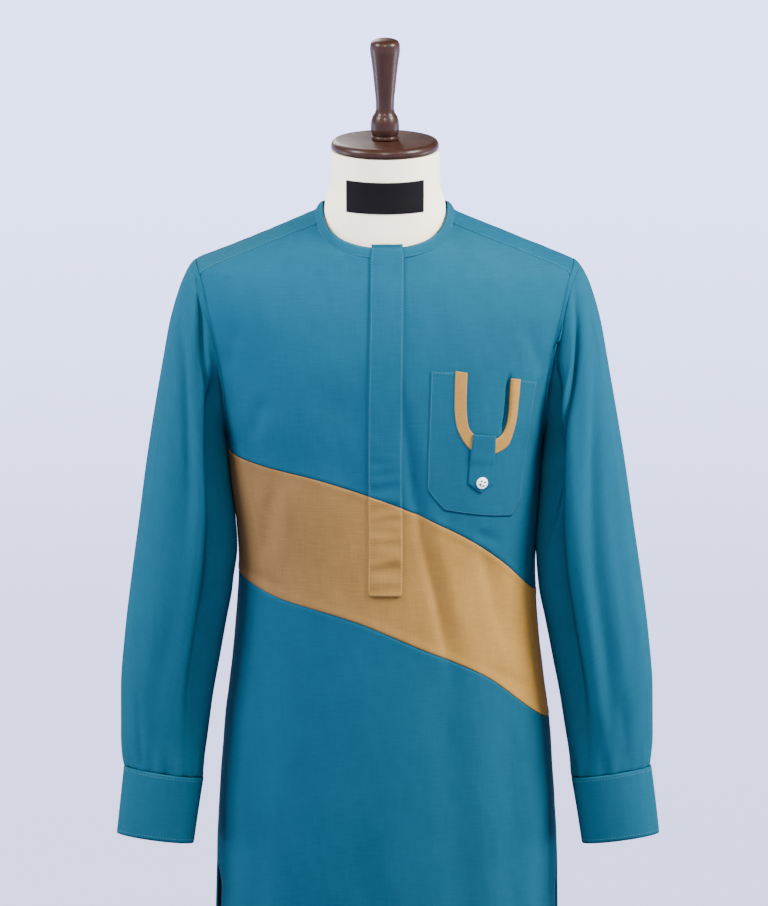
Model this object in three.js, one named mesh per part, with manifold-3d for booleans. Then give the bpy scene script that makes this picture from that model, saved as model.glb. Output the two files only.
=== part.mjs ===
// A long-sleeved kaftan on a dress form with a round foot.
// Millimetres, +Z up. The origin is the centre of the foot's underside. The garment's front
// faces -Y, and +X is the viewer's right, which is the wearer's left.

import * as THREE from 'three';
import Module from 'manifold-3d';
import { mergeVertices } from 'three/addons/utils/BufferGeometryUtils.js';

const wasm = await Module();
wasm.setup();

// Driving sizes

const SEAM_GAP = 0.3;
const CLOTH_WALL = 2;
const HEM_HEIGHT = 455;
const UNDERARM_HEIGHT = 1200;

// The side vents: from their tops the panels' free edges part, and the front's hangs inwards,
// more on the viewer's left than on the right.
const VENT = { top: 682, partingAtHem: 9, droop: 45, leftInward: 6.5, rightInward: 2.5, turn: 30 };

// Level sections of the garment's body: half its width, and its depth in front of and behind
// the side seams. A squareness of 2 is an ellipse, and a higher one is fuller at the corners.
const BODY_SECTIONS = [
  { height: 455, halfWidth: 213, front: 139, back: 134, squareness: 2.25 },
  { height: 620, halfWidth: 206, front: 137, back: 132, squareness: 2.25 },
  { height: 700, halfWidth: 204.5, front: 135, back: 131, squareness: 2.25 },
  { height: 750, halfWidth: 202, front: 133.5, back: 130, squareness: 2.25 },
  { height: 800, halfWidth: 198.5, front: 131.5, back: 128, squareness: 2.25 },
  { height: 850, halfWidth: 195, front: 130, back: 126, squareness: 2.25 },
  { height: 900, halfWidth: 189, front: 128.5, back: 124, squareness: 2.25 },
  { height: 950, halfWidth: 183.5, front: 127, back: 122, squareness: 2.25 },
  { height: 1000, halfWidth: 179.5, front: 126, back: 120.5, squareness: 2.28 },
  { height: 1042, halfWidth: 178, front: 125.5, back: 119.5, squareness: 2.32 },
  { height: 1090, halfWidth: 180.5, front: 126, back: 119, squareness: 2.48 },
  { height: 1140, halfWidth: 185.5, front: 127, back: 119, squareness: 2.65 },
  { height: 1200, halfWidth: 190.5, front: 127.5, back: 119, squareness: 2.85 },
  { height: 1226, halfWidth: 195, front: 127, back: 118.5, squareness: 2.95 },
  { height: 1266, halfWidth: 204.5, front: 125.5, back: 117.5, squareness: 2.8 },
  { height: 1303, halfWidth: 218, front: 122.5, back: 115.5, squareness: 2.6 },
  { height: 1331, halfWidth: 229, front: 118, back: 113, squareness: 2.5 },
  { height: 1364, halfWidth: 238.5, front: 110, back: 108.5, squareness: 2.4 },
  { height: 1390, halfWidth: 241, front: 101, back: 102.5, squareness: 2.2 },
  { height: 1405, halfWidth: 238, front: 94, back: 98, squareness: 2.08 },
  { height: 1412.3, halfWidth: 226.5, front: 90, back: 95, squareness: 2 },
  { height: 1425, halfWidth: 196.6, front: 84, back: 91.5, squareness: 1.85 },
  { height: 1434, halfWidth: 175.5, front: 79.5, back: 88, squareness: 1.7 },
  { height: 1445, halfWidth: 149.6, front: 66, back: 83, squareness: 1.6 },
  { height: 1455, halfWidth: 126.2, front: 49, back: 78, squareness: 1.6 },
  { height: 1466, halfWidth: 100.3, front: 33, back: 73, squareness: 1.6 },
  { height: 1475, halfWidth: 79.2, front: 22, back: 70, squareness: 1.6 },
  { height: 1495, halfWidth: 32, front: 12, back: 60, squareness: 1.6 },
];

// The armhole seam, as seen from the front.
const ARMHOLE = [
  { height: 1200, reach: 190.5 },
  { height: 1226, reach: 191 },
  { height: 1266, reach: 193 },
  { height: 1303, reach: 198.5 },
  { height: 1331, reach: 204.5 },
  { height: 1364, reach: 213 },
  { height: 1390, reach: 218.5 },
  { height: 1402, reach: 222 },
  { height: 1412.3, reach: 226.5 },
];
const SHOULDER_TIP = { reach: 226.5, height: 1412.3, backDrop: 6 };

// The shoulder seams lie in front of the shoulder's ridge by this much.
const SHOULDER_SEAM = { neckReach: 80.4, neckForward: 22, tipReach: 222, tipForward: 38 };

// The neck seam seen from above, and the binding that rises from it.
const NECK_SEAM = { halfWidth: 82, front: 80, back: 72, squareness: 2.4, shoulderTurn: 77.7 };
const BINDING = { lean: 7.5, rise: 9.5, roll: 0.7, wall: 1.8, halfTurns: 12, seamTrim: 1.2 };

// The two edges of the diagonal band, as seen from the front.
const BAND_TOP = [
  { across: -192, height: 1181 },
  { across: -142, height: 1177 },
  { across: -89, height: 1168 },
  { across: -20, height: 1149 },
  { across: 20, height: 1134 },
  { across: 94, height: 1096 },
  { across: 138, height: 1062 },
  { across: 182, height: 1009 },
];
const BAND_BOTTOM = [
  { across: -180, height: 1034 },
  { across: -128, height: 1017 },
  { across: -87, height: 1008 },
  { across: -37, height: 994 },
  { across: 41, height: 961 },
  { across: 116, height: 925 },
  { across: 196, height: 852 },
];

const PLACKET = {
  width: 40.5, topCentre: 2.7, bottomCentre: -2.2, top: 1427, bottom: 1026, wall: 1.6, corner: 3,
};

// The pocket's mouth edging and its outline, from the top of the viewer's left arm of the U,
// round the bottom and up the other arm. Each row is one line across the pocket.
const POCKET_LINES = [
  { edgeX: 98.8, edgeZ: 1298, trimX: 83.5, trimZ: 1300.6, outX: 55.2, outZ: 1300.6 },
  { edgeX: 98, edgeZ: 1280, trimX: 82.6, trimZ: 1280, outX: 54.4, outZ: 1266 },
  { edgeX: 97.6, edgeZ: 1258, trimX: 82.4, trimZ: 1257, outX: 53.2, outZ: 1228 },
  { edgeX: 99.5, edgeZ: 1235, trimX: 84.7, trimZ: 1236, outX: 52, outZ: 1190 },
  { edgeX: 105.6, edgeZ: 1224, trimX: 90.8, trimZ: 1220, outX: 51, outZ: 1155 },
  { edgeX: 112.5, edgeZ: 1218.5, trimX: 99.5, trimZ: 1208, outX: 60, outZ: 1142 },
  { edgeX: 119, edgeZ: 1216.5, trimX: 109, trimZ: 1200.5, outX: 70.3, outZ: 1130 },
  { edgeX: 124, edgeZ: 1215.5, trimX: 121, trimZ: 1197, outX: 97, outZ: 1124.5 },
  { edgeX: 129, edgeZ: 1215, trimX: 130, trimZ: 1197, outX: 124, outZ: 1119.5 },
  { edgeX: 134.3, edgeZ: 1216, trimX: 138.5, trimZ: 1200, outX: 149.5, outZ: 1116 },
  { edgeX: 140.5, edgeZ: 1220.5, trimX: 147, trimZ: 1206, outX: 155, outZ: 1124 },
  { edgeX: 144.8, edgeZ: 1228, trimX: 154.6, trimZ: 1224.5, outX: 160, outZ: 1132.5 },
  { edgeX: 148, edgeZ: 1240, trimX: 158.4, trimZ: 1242, outX: 166, outZ: 1172 },
  { edgeX: 149.6, edgeZ: 1256, trimX: 160.1, trimZ: 1258, outX: 172, outZ: 1211 },
  { edgeX: 150.6, edgeZ: 1272, trimX: 161.6, trimZ: 1271, outX: 177, outZ: 1246 },
  { edgeX: 151.4, edgeZ: 1288, trimX: 163, trimZ: 1286, outX: 182, outZ: 1280 },
];
const POCKET_WALL = 1.2;
const TRIM_WALL = 1;

// The tab, row by row down its length, from its fold to its point.
const TAB_ROWS = [
  { left: 106.6, right: 133.7, height: 1222, drop: -4 },
  { left: 105.4, right: 133.4, height: 1208, drop: -3.5 },
  { left: 103.6, right: 132.6, height: 1189, drop: -3 },
  { left: 101.8, right: 131.4, height: 1172, drop: -2.5 },
  { left: 100.7, right: 130.4, height: 1161, drop: -2 },
];
const TAB = { wall: 1, point: 12 };
const SNAP = { across: 116.9, height: 1161, gap: 0.4 };
const SNAP_OUTLINE = [
  { radius: 0, height: 0 },
  { radius: 6.8, height: 0 },
  { radius: 7.2, height: 1 },
  { radius: 6.2, height: 2.45 },
  { radius: 3.6, height: 3.4 },
  { radius: 0, height: 3.4 },
];

// Sections of a sleeve down the arm. Each is a tilted oval between an outer point and an inner
// point, with half its depth from front to back, and how far its middle hangs forward.
const SLEEVE_SECTIONS = [
  { outX: 226.5, outZ: 1412, inX: 191, inZ: 1203, halfDepth: 66, forward: 0 },
  { outX: 234.5, outZ: 1405, inX: 193.8, inZ: 1206, halfDepth: 67, forward: 1 },
  { outX: 242.5, outZ: 1391, inX: 195, inZ: 1199, halfDepth: 68, forward: 4 },
  { outX: 251, outZ: 1368, inX: 193.4, inZ: 1176, halfDepth: 68, forward: 8 },
  { outX: 259, outZ: 1338, inX: 190, inZ: 1145, halfDepth: 68, forward: 12 },
  { outX: 267, outZ: 1292, inX: 186.2, inZ: 1108, halfDepth: 67.5, forward: 16 },
  { outX: 277, outZ: 1232, inX: 182.8, inZ: 1062, halfDepth: 66, forward: 19.5 },
  { outX: 287, outZ: 1168, inX: 184.5, inZ: 1018, halfDepth: 64, forward: 23 },
  { outX: 296, outZ: 1100, inX: 191, inZ: 976, halfDepth: 61, forward: 26.5 },
  { outX: 305.5, outZ: 1030, inX: 199, inZ: 930, halfDepth: 57, forward: 29 },
  { outX: 313.5, outZ: 960, inX: 207, inZ: 886, halfDepth: 52, forward: 31.5 },
  { outX: 318, outZ: 895, inX: 212.5, inZ: 846, halfDepth: 47, forward: 34.7 },
  { outX: 317.5, outZ: 840, inX: 217, inZ: 812, halfDepth: 42, forward: 39 },
  { outX: 314, outZ: 799, inX: 220, inZ: 784.5, halfDepth: 38, forward: 43 },
];
const SLEEVE_STEPS = 13;
const SLEEVE_LIP = 2;
const HEAD_BLEND = 0.35;
const CUFF_SECTIONS = [
  { outX: 314.4, outZ: 798.4, inX: 219.6, inZ: 784, halfDepth: 38.2, forward: 43.2 },
  { outX: 319, outZ: 758, inX: 225.5, inZ: 745, halfDepth: 37.4, forward: 48 },
  { outX: 323.5, outZ: 717.5, inX: 231, inZ: 705, halfDepth: 36.6, forward: 52.5 },
];
const CUFF_WALL = 2.4;

// How far each arm swings out at the cuff beyond the sections above, and how much more of that
// its cuff's lower edge has.
const CUFF_SWING = 0.12;
const ARMS = [
  { name: 'left', side: -1, swing: 0 },
  { name: 'right', side: 1, swing: 9 },
];

// The main soft folds in the front, each from one end to the other, as seen from the front.
// A positive depth is a ridge and a negative one a trough.
const FRONT_FOLDS = [
  { fromX: 38, fromZ: 1100, toX: 70, toZ: 960, width: 13, depth: -6 },
  { fromX: 62, fromZ: 1110, toX: 96, toZ: 965, width: 15, depth: 3 },
  { fromX: -160, fromZ: 1210, toX: -138, toZ: 1060, width: 15, depth: -3.5 },
  { fromX: 118, fromZ: 1080, toX: 142, toZ: 950, width: 15, depth: -3.5 },
  { fromX: -70, fromZ: 930, toX: -92, toZ: 470, width: 26, depth: -4 },
  { fromX: 72, fromZ: 900, toX: 100, toZ: 470, width: 30, depth: -4 },
  { fromX: 0, fromZ: 860, toX: 4, toZ: 470, width: 34, depth: 3 },
];
const BACK_FOLDS = [
  { fromX: -60, fromZ: 1120, toX: -84, toZ: 480, width: 24, depth: -5 },
  { fromX: 66, fromZ: 1130, toX: 88, toZ: 480, width: 24, depth: -5 },
  { fromX: 8, fromZ: 1020, toX: 2, toZ: 480, width: 30, depth: 4 },
  { fromX: -150, fromZ: 1230, toX: -118, toZ: 1090, width: 16, depth: -3.5 },
  { fromX: 150, fromZ: 1230, toX: 122, toZ: 1080, width: 16, depth: -3.5 },
];

// Folds in the sleeves: a turn of 0 is the outside of the arm, 90 the front and 180 the inside,
// and along runs from 0 at the shoulder to 1 at the cuff. The width is in degrees of turn.
const SLEEVE_FOLDS = {
  left: [
    { fromTurn: 66, fromAlong: 0.1, toTurn: 112, toAlong: 0.42, width: 15, depth: -7 },
    { fromTurn: 34, fromAlong: 0.16, toTurn: 66, toAlong: 0.5, width: 17, depth: -5 },
    { fromTurn: 118, fromAlong: 0.42, toTurn: 126, toAlong: 0.92, width: 22, depth: -5 },
    { fromTurn: 260, fromAlong: 0.14, toTurn: 236, toAlong: 0.5, width: 18, depth: -6 },
    { fromTurn: 300, fromAlong: 0.4, toTurn: 280, toAlong: 0.85, width: 20, depth: -4 },
  ],
  right: [
    { fromTurn: 62, fromAlong: 0.12, toTurn: 106, toAlong: 0.4, width: 15, depth: -6 },
    { fromTurn: 94, fromAlong: 0.16, toTurn: 132, toAlong: 0.6, width: 16, depth: -7 },
    { fromTurn: 70, fromAlong: 0.5, toTurn: 84, toAlong: 0.9, width: 18, depth: -4 },
    { fromTurn: 258, fromAlong: 0.15, toTurn: 232, toAlong: 0.5, width: 18, depth: -6 },
    { fromTurn: 296, fromAlong: 0.42, toTurn: 276, toAlong: 0.86, width: 20, depth: -4 },
  ],
};

// Level sections of the dress form below the cloth, closed at the hip.
const FORM_SECTIONS = [
  { height: 786, halfWidth: 158, front: 104, back: 104 },
  { height: 790, halfWidth: 164, front: 109, back: 109 },
  { height: 880, halfWidth: 168, front: 112, back: 112 },
  { height: 960, halfWidth: 160, front: 106, back: 104 },
  { height: 1040, halfWidth: 150, front: 102, back: 96 },
  { height: 1120, halfWidth: 157, front: 107, back: 98 },
  { height: 1200, halfWidth: 168, front: 114, back: 104 },
  { height: 1266, halfWidth: 180, front: 116, back: 107 },
  { height: 1320, halfWidth: 189, front: 112, back: 106 },
  { height: 1364, halfWidth: 199, front: 103, back: 101 },
  { height: 1390, halfWidth: 206, front: 94, back: 95 },
];
const FORM = { ridgeEase: 1.5, frontEase: 6, backEase: 17, squareness: 2.2, neckSquareness: 2.05, turns: 32 };
const FORM_SHOULDER = { bottom: 1404, top: 1456, step: 8, reach: 209, taper: 0.06 };
const FORM_NECK = [
  { height: 1400, halfWidth: 76, front: 72, back: 66 },
  { height: 1444, halfWidth: 75, front: 69.8, back: 65 },
  { height: 1470, halfWidth: 74.4, front: 67.2, back: 64 },
  { height: 1484, halfWidth: 71.9, front: 65.8, back: 63.2 },
  { height: 1493, halfWidth: 69.4, front: 65.2, back: 63.1 },
  { height: 1504, halfWidth: 66.6, front: 64.6, back: 63 },
  { height: 1548, halfWidth: 65, front: 64, back: 63 },
];
const LABEL = { halfTurn: 42, height: 1504.5, halfHeight: 18.5, gap: 0.7, wall: 1, turns: 10 };

// Turned pieces on the neck: outlines from the axis out and back to it.
const NECK_CAP = { underside: 1548.3, thickness: 12, radius: 65, round: 3.5 };
const FINIAL_OUTLINE = [
  { radius: 0, height: 0.3 },
  { radius: 15, height: 0.3 },
  { radius: 16.4, height: 3 },
  { radius: 15.4, height: 5 },
  { radius: 17, height: 12 },
  { radius: 17.2, height: 20 },
  { radius: 15, height: 28 },
  { radius: 11.4, height: 34 },
  { radius: 11, height: 42 },
  { radius: 12.6, height: 62 },
  { radius: 15.6, height: 90 },
  { radius: 18.2, height: 110 },
  { radius: 17.6, height: 117 },
  { radius: 13, height: 121.8 },
  { radius: 6, height: 123.4 },
  { radius: 0, height: 123.8 },
];
const POLE_RADIUS = 16;
const BASE_OUTLINE = [
  { radius: 0, height: 0 },
  { radius: 196, height: 0 },
  { radius: 200, height: 4 },
  { radius: 199, height: 12 },
  { radius: 192, height: 18 },
  { radius: 60, height: 26 },
  { radius: 30, height: 34 },
  { radius: 0, height: 34 },
];

const COLOURS = {
  teal: 0x2f7f9f,
  tan: 0xb9966a,
  cream: 0xe4ddd0,
  walnut: 0x4c2e26,
  black: 0x1c1b1e,
  steel: 0xc4c6c8,
};

// Curves through tables

// A smooth curve through the rows of a table, which never overshoots them.
function through(rows, at, read) {
  const places = rows.map((row) => row[at]);
  const values = rows.map((row) => row[read]);
  const rises = values.slice(1).map((value, i) => (value - values[i]) / (places[i + 1] - places[i]));
  const slopes = values.map((_, i) => {
    if (i === 0) return rises[0];
    if (i === rises.length) return rises[i - 1];
    const product = rises[i - 1] * rises[i];
    return product <= 0 ? 0 : (2 * product) / (rises[i - 1] + rises[i]);
  });
  return (place) => {
    let i = 0;
    while (i < places.length - 2 && place > places[i + 1]) i += 1;
    const step = places[i + 1] - places[i];
    const f = THREE.MathUtils.clamp((place - places[i]) / step, 0, 1);
    const g = 1 - f;
    return (
      values[i] * g * g * (1 + 2 * f) + values[i + 1] * f * f * (3 - 2 * f) +
      step * f * g * (slopes[i] * g - slopes[i + 1] * f)
    );
  };
}

// The place between low and high where a rising function reaches a value.
function solve(rising, value, low, high) {
  let [bottom, top] = [low, high];
  for (let i = 0; i < 40; i += 1) {
    const middle = (bottom + top) / 2;
    if (rising(middle) < value) bottom = middle;
    else top = middle;
  }
  return (bottom + top) / 2;
}

const degrees = THREE.MathUtils.degToRad;
const halfWidth = through(BODY_SECTIONS, 'height', 'halfWidth');
const frontDepth = through(BODY_SECTIONS, 'height', 'front');
const backDepth = through(BODY_SECTIONS, 'height', 'back');
const squareness = through(BODY_SECTIONS, 'height', 'squareness');
const armholeReach = through(ARMHOLE, 'height', 'reach');
const bandTop = through(BAND_TOP, 'across', 'height');
const bandBottom = through(BAND_BOTTOM, 'across', 'height');

// The garment's body

// The depth of the body at one place across it, on the side of the front (-1) or back (1).
function depthAt(x, height, side) {
  const n = squareness(height);
  const reach = Math.min(1, Math.abs(x) / halfWidth(height));
  const depth = side < 0 ? frontDepth(height) : backDepth(height);
  return depth * (1 - reach ** n) ** (1 / n);
}

// How far a point is outside (above 0) or inside (below 0) the body's section at its height.
function outside(x, y, height) {
  const n = squareness(height);
  const depth = y < 0 ? frontDepth(height) : backDepth(height);
  return (Math.abs(x) / halfWidth(height)) ** n + (Math.abs(y) / depth) ** n - 1;
}

function bodyNormal(point) {
  const { x, y, z } = point;
  const step = 0.05;
  const slope = (dx, dy, dz) => (
    outside(x + dx, y + dy, z + dz) - outside(x - dx, y - dy, z - dz)
  );
  return new THREE.Vector3(slope(step, 0, 0), slope(0, step, 0), slope(0, 0, step)).normalize();
}

// The height of a soft ridge or trough at a point, fading at both of its ends.
function foldHeight(x, z, fold) {
  const along = new THREE.Vector2(fold.toX - fold.fromX, fold.toZ - fold.fromZ);
  const length = along.length();
  along.divideScalar(length);
  const from = new THREE.Vector2(x - fold.fromX, z - fold.fromZ);
  const run = from.dot(along) / length;
  const away = from.cross(along) / fold.width;
  const { smoothstep } = THREE.MathUtils;
  const fade = smoothstep(run, -0.2, 0.25) * (1 - smoothstep(run, 0.75, 1.2));
  return fold.depth * fade * Math.exp(-away * away);
}

// A point on the body's cloth, with its folds, which die out at the side seams.
const FOLD_FADE_DEPTH = 45;

function draped(point) {
  const folds = point.y < 0 ? FRONT_FOLDS : BACK_FOLDS;
  const lift = folds.reduce((sum, fold) => sum + foldHeight(point.x, point.z, fold), 0);
  const clearOfSide = THREE.MathUtils.smoothstep(Math.abs(point.y), 0, FOLD_FADE_DEPTH);
  return point.clone().addScaledVector(bodyNormal(point), lift * clearOfSide);
}

function bodyPoint(x, height, side) {
  return new THREE.Vector3(x, side * depthAt(x, height, side), height);
}

// A point by its turn from the middle of the front (side -1) or back (side 1), up to 90 at a side.
function sectionPoint(turn, height, side) {
  const power = 2 / squareness(height);
  const depth = side < 0 ? frontDepth(height) : backDepth(height);
  const x = Math.sign(turn) * halfWidth(height) * Math.abs(Math.sin(degrees(turn))) ** power;
  const y = side * depth * Math.abs(Math.cos(degrees(turn))) ** power;
  return new THREE.Vector3(x, y, height);
}

// The ridge of the shoulders, rounded off across the neck, where no cloth lies.
const NECK_ROUNDING = 75;
const RIDGE_RANGE = { low: 1405, high: 1495 };

function ridgeHeight(x) {
  const reach = Math.abs(x);
  const rounded = (reach * reach + NECK_ROUNDING * NECK_ROUNDING) / (2 * NECK_ROUNDING);
  const place = reach > NECK_ROUNDING ? reach : rounded;
  return solve((height) => -halfWidth(height), -place, RIDGE_RANGE.low, RIDGE_RANGE.high);
}

// The run down the cloth from the ridge: below zero in front of it and above zero behind it on
// the back panel. Near the ridge it measures across it, and lower down it measures height.
const RIDGE_SOFTNESS = 41;
const RIDGE_SEARCH = 70;

function runTo(x, height) {
  const drop = Math.max(0, ridgeHeight(x) - height);
  return Math.sqrt((drop + RIDGE_SOFTNESS) ** 2 - RIDGE_SOFTNESS ** 2);
}

function pointAtRun(x, run, side) {
  const drop = Math.hypot(run, RIDGE_SOFTNESS) - RIDGE_SOFTNESS;
  return bodyPoint(x, ridgeHeight(x) - drop, run < 0 ? -side : side);
}

// The height at which the body is a given depth at one place across it.
function heightAtDepth(x, depth, side) {
  const top = ridgeHeight(x);
  return solve((height) => -depthAt(x, height, side), -depth, top - RIDGE_SEARCH, top);
}

// The neck seam, by the turn from the middle of the front.
function neckSeam(turn) {
  const power = 2 / NECK_SEAM.squareness;
  const side = Math.abs(turn) < 90 ? -1 : 1;
  const depth = side < 0 ? NECK_SEAM.front : NECK_SEAM.back;
  const [sine, cosine] = [Math.sin(degrees(turn)), Math.cos(degrees(turn))];
  const x = Math.sign(sine) * NECK_SEAM.halfWidth * Math.abs(sine) ** power;
  const y = depth * Math.abs(cosine) ** power;
  return new THREE.Vector3(x, side * y, heightAtDepth(x, y, side));
}

// The forward shoulder seam, by its place from 0 at the neck to 1 at the armhole.
function shoulderSeam(place, side) {
  const { lerp } = THREE.MathUtils;
  const reach = lerp(SHOULDER_SEAM.neckReach, SHOULDER_SEAM.tipReach, place);
  const forward = lerp(SHOULDER_SEAM.neckForward, SHOULDER_SEAM.tipForward, place);
  return new THREE.Vector3(side * reach, -forward, heightAtDepth(reach, forward, -1));
}

// The sheets of cloth

const COLUMNS = 24;
const SHOULDER_COLUMNS = 6;
const FRONT_ARM_ROWS = 9;
const BACK_ARM_ROWS = 11;
const ROWS = { upper: 5, band: 5, lower: 9, back: 13 };

// Rows of the yoke lie closer together towards the top of the shoulders.
const ROW_GRADING = 1.4;
const ARMHOLE_GRADING = 1.25;
const OVER_RIDGE = 0.24;

const columnTurn = (column) => -90 + (180 * column) / COLUMNS;
const rowPlace = (row, rows) => 1 - (1 - row / rows) ** ROW_GRADING;

// The top edge of the front or back, column by column: shoulder seam, neck seam, shoulder seam.
function topEdge(column, side) {
  const fromEnd = Math.min(column, COLUMNS - column);
  const hand = column < COLUMNS / 2 ? -1 : 1;
  if (fromEnd <= SHOULDER_COLUMNS) return shoulderSeam(1 - fromEnd / SHOULDER_COLUMNS, hand);
  const corner = NECK_SEAM.shoulderTurn;
  const place = (column - SHOULDER_COLUMNS) / (COLUMNS - 2 * SHOULDER_COLUMNS);
  if (side < 0) return neckSeam(-corner + 2 * corner * place);
  return neckSeam(-corner - (360 - 2 * corner) * place);
}

// The armhole's edge in the plane of reach and run, by its place from the underarm up. The back
// panel's edge passes over the ridge in its last part.
function armholeEdge(place, side) {
  const { lerp } = THREE.MathUtils;
  const end = topEdge(COLUMNS, side);
  if (side < 0) {
    const height = lerp(UNDERARM_HEIGHT, end.z, place ** ARMHOLE_GRADING);
    const reach = armholeReach(height) + (end.x - armholeReach(end.z)) * place ** 2;
    return new THREE.Vector2(reach, runTo(reach, height));
  }
  if (place <= 1 - OVER_RIDGE) {
    const share = (place / (1 - OVER_RIDGE)) ** ARMHOLE_GRADING;
    const height = lerp(UNDERARM_HEIGHT, SHOULDER_TIP.height - SHOULDER_TIP.backDrop, share);
    const reach = armholeReach(height);
    return new THREE.Vector2(reach, runTo(reach, height));
  }
  const start = armholeEdge(1 - OVER_RIDGE, side);
  const across = (place - 1 + OVER_RIDGE) / OVER_RIDGE;
  const run = lerp(start.y, -runTo(end.x, end.z), across);
  const bulge = SHOULDER_TIP.reach - lerp(start.x, end.x, 0.5);
  const reach = lerp(start.x, end.x, across) + bulge * Math.sin(Math.PI * across);
  return new THREE.Vector2(reach, run);
}

// The part of the front or back above the underarms: a patch blended between its four edges.
function yoke(side) {
  const rows = side < 0 ? FRONT_ARM_ROWS : BACK_ARM_ROWS;
  const flat = (point, run) => new THREE.Vector2(point.x, run);
  const bottom = [];
  const top = [];
  for (let column = 0; column <= COLUMNS; column += 1) {
    const low = sectionPoint(columnTurn(column), UNDERARM_HEIGHT, side);
    bottom.push(flat(low, runTo(low.x, UNDERARM_HEIGHT)));
    const high = topEdge(column, side);
    const sign = side > 0 && high.y < 0 ? -1 : 1;
    top.push(flat(high, sign * runTo(high.x, high.z)));
  }
  const grid = [];
  for (let row = 0; row <= rows; row += 1) {
    const v = rowPlace(row, rows);
    const right = armholeEdge(v, side);
    const left = new THREE.Vector2(-right.x, right.y);
    const line = [];
    for (let column = 0; column <= COLUMNS; column += 1) {
      const u = column / COLUMNS;
      const place = new THREE.Vector2()
        .addScaledVector(left, 1 - u).addScaledVector(right, u)
        .addScaledVector(bottom[column], 1 - v).addScaledVector(top[column], v)
        .addScaledVector(bottom[0], -(1 - u) * (1 - v)).addScaledVector(bottom[COLUMNS], -u * (1 - v))
        .addScaledVector(top[0], -(1 - u) * v).addScaledVector(top[COLUMNS], -u * v);
      line.push(draped(pointAtRun(place.x, place.y, side)));
    }
    grid.push(line);
  }
  return grid;
}

// A column's turn at the side seam, drawn in from 90 where the vent is open.
function ventedTurn(column, height) {
  const open = THREE.MathUtils.smoothstep(VENT.top - height, 0, VENT.top - HEM_HEIGHT);
  const inset = (open * VENT.partingAtHem) / frontDepth(height);
  const share = 1 - THREE.MathUtils.radToDeg(inset) / 90;
  return columnTurn(column) * share;
}

// The front's free edges hang inwards below the tops of the vents.
function ventedPoint(column, height, side) {
  const turn = ventedTurn(column, height);
  const point = sectionPoint(turn, height, side);
  if (side > 0) return point;
  const { smoothstep } = THREE.MathUtils;
  const inward = turn < 0 ? VENT.leftInward : VENT.rightInward;
  const nearEdge = smoothstep(Math.abs(turn), 90 - VENT.turn, 90);
  point.x -= Math.sign(turn) * inward * nearEdge * smoothstep(VENT.top - height, 0, VENT.droop);
  return point;
}

// Rows between two edges that are given as heights for a place across.
function levels(lowEdge, highEdge, rows, side) {
  const heightOn = (edge, column) => {
    let height = edge(0);
    for (let i = 0; i < 6; i += 1) {
      height = edge(ventedPoint(column, height, side).x);
    }
    return height;
  };
  const grid = [];
  for (let row = 0; row <= rows; row += 1) {
    const line = [];
    for (let column = 0; column <= COLUMNS; column += 1) {
      const low = heightOn(lowEdge, column);
      const high = heightOn(highEdge, column);
      const height = THREE.MathUtils.lerp(low, high, row / rows);
      line.push(draped(ventedPoint(column, height, side)));
    }
    grid.push(line);
  }
  return grid;
}

// Walls

// Draws the chosen edges of a sheet in by half the seam gap.
function trimmed(grid, edges, amount = SEAM_GAP / 2) {
  const copy = grid.map((line) => line.map((point) => point.clone()));
  const last = { row: grid.length - 1, column: grid[0].length - 1 };
  const pull = (row, column, toRow, toColumn) => {
    const inward = grid[toRow][toColumn].clone().sub(grid[row][column]).normalize();
    copy[row][column].addScaledVector(inward, amount);
  };
  for (let column = 0; column <= last.column; column += 1) {
    if (edges.includes('bottom')) pull(0, column, 1, column);
    if (edges.includes('top')) pull(last.row, column, last.row - 1, column);
  }
  for (let row = 0; row <= last.row; row += 1) {
    if (edges.includes('left')) pull(row, 0, row, 1);
    if (edges.includes('right')) pull(row, last.column, row, last.column - 1);
  }
  return copy;
}

// The normal of a sheet at one of its points, from its neighbours. A closed sheet joins its
// last column to its first.
function sheetNormal(grid, row, column, closed) {
  const columns = grid[0].length;
  const wrap = (index) => (
    closed ? (index + columns) % columns : THREE.MathUtils.clamp(index, 0, columns - 1)
  );
  const above = grid[Math.min(row + 1, grid.length - 1)][column];
  const up = above.clone().sub(grid[Math.max(row - 1, 0)][column]);
  const across = grid[row][wrap(column + 1)].clone().sub(grid[row][wrap(column - 1)]);
  return across.cross(up).normalize();
}

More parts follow.
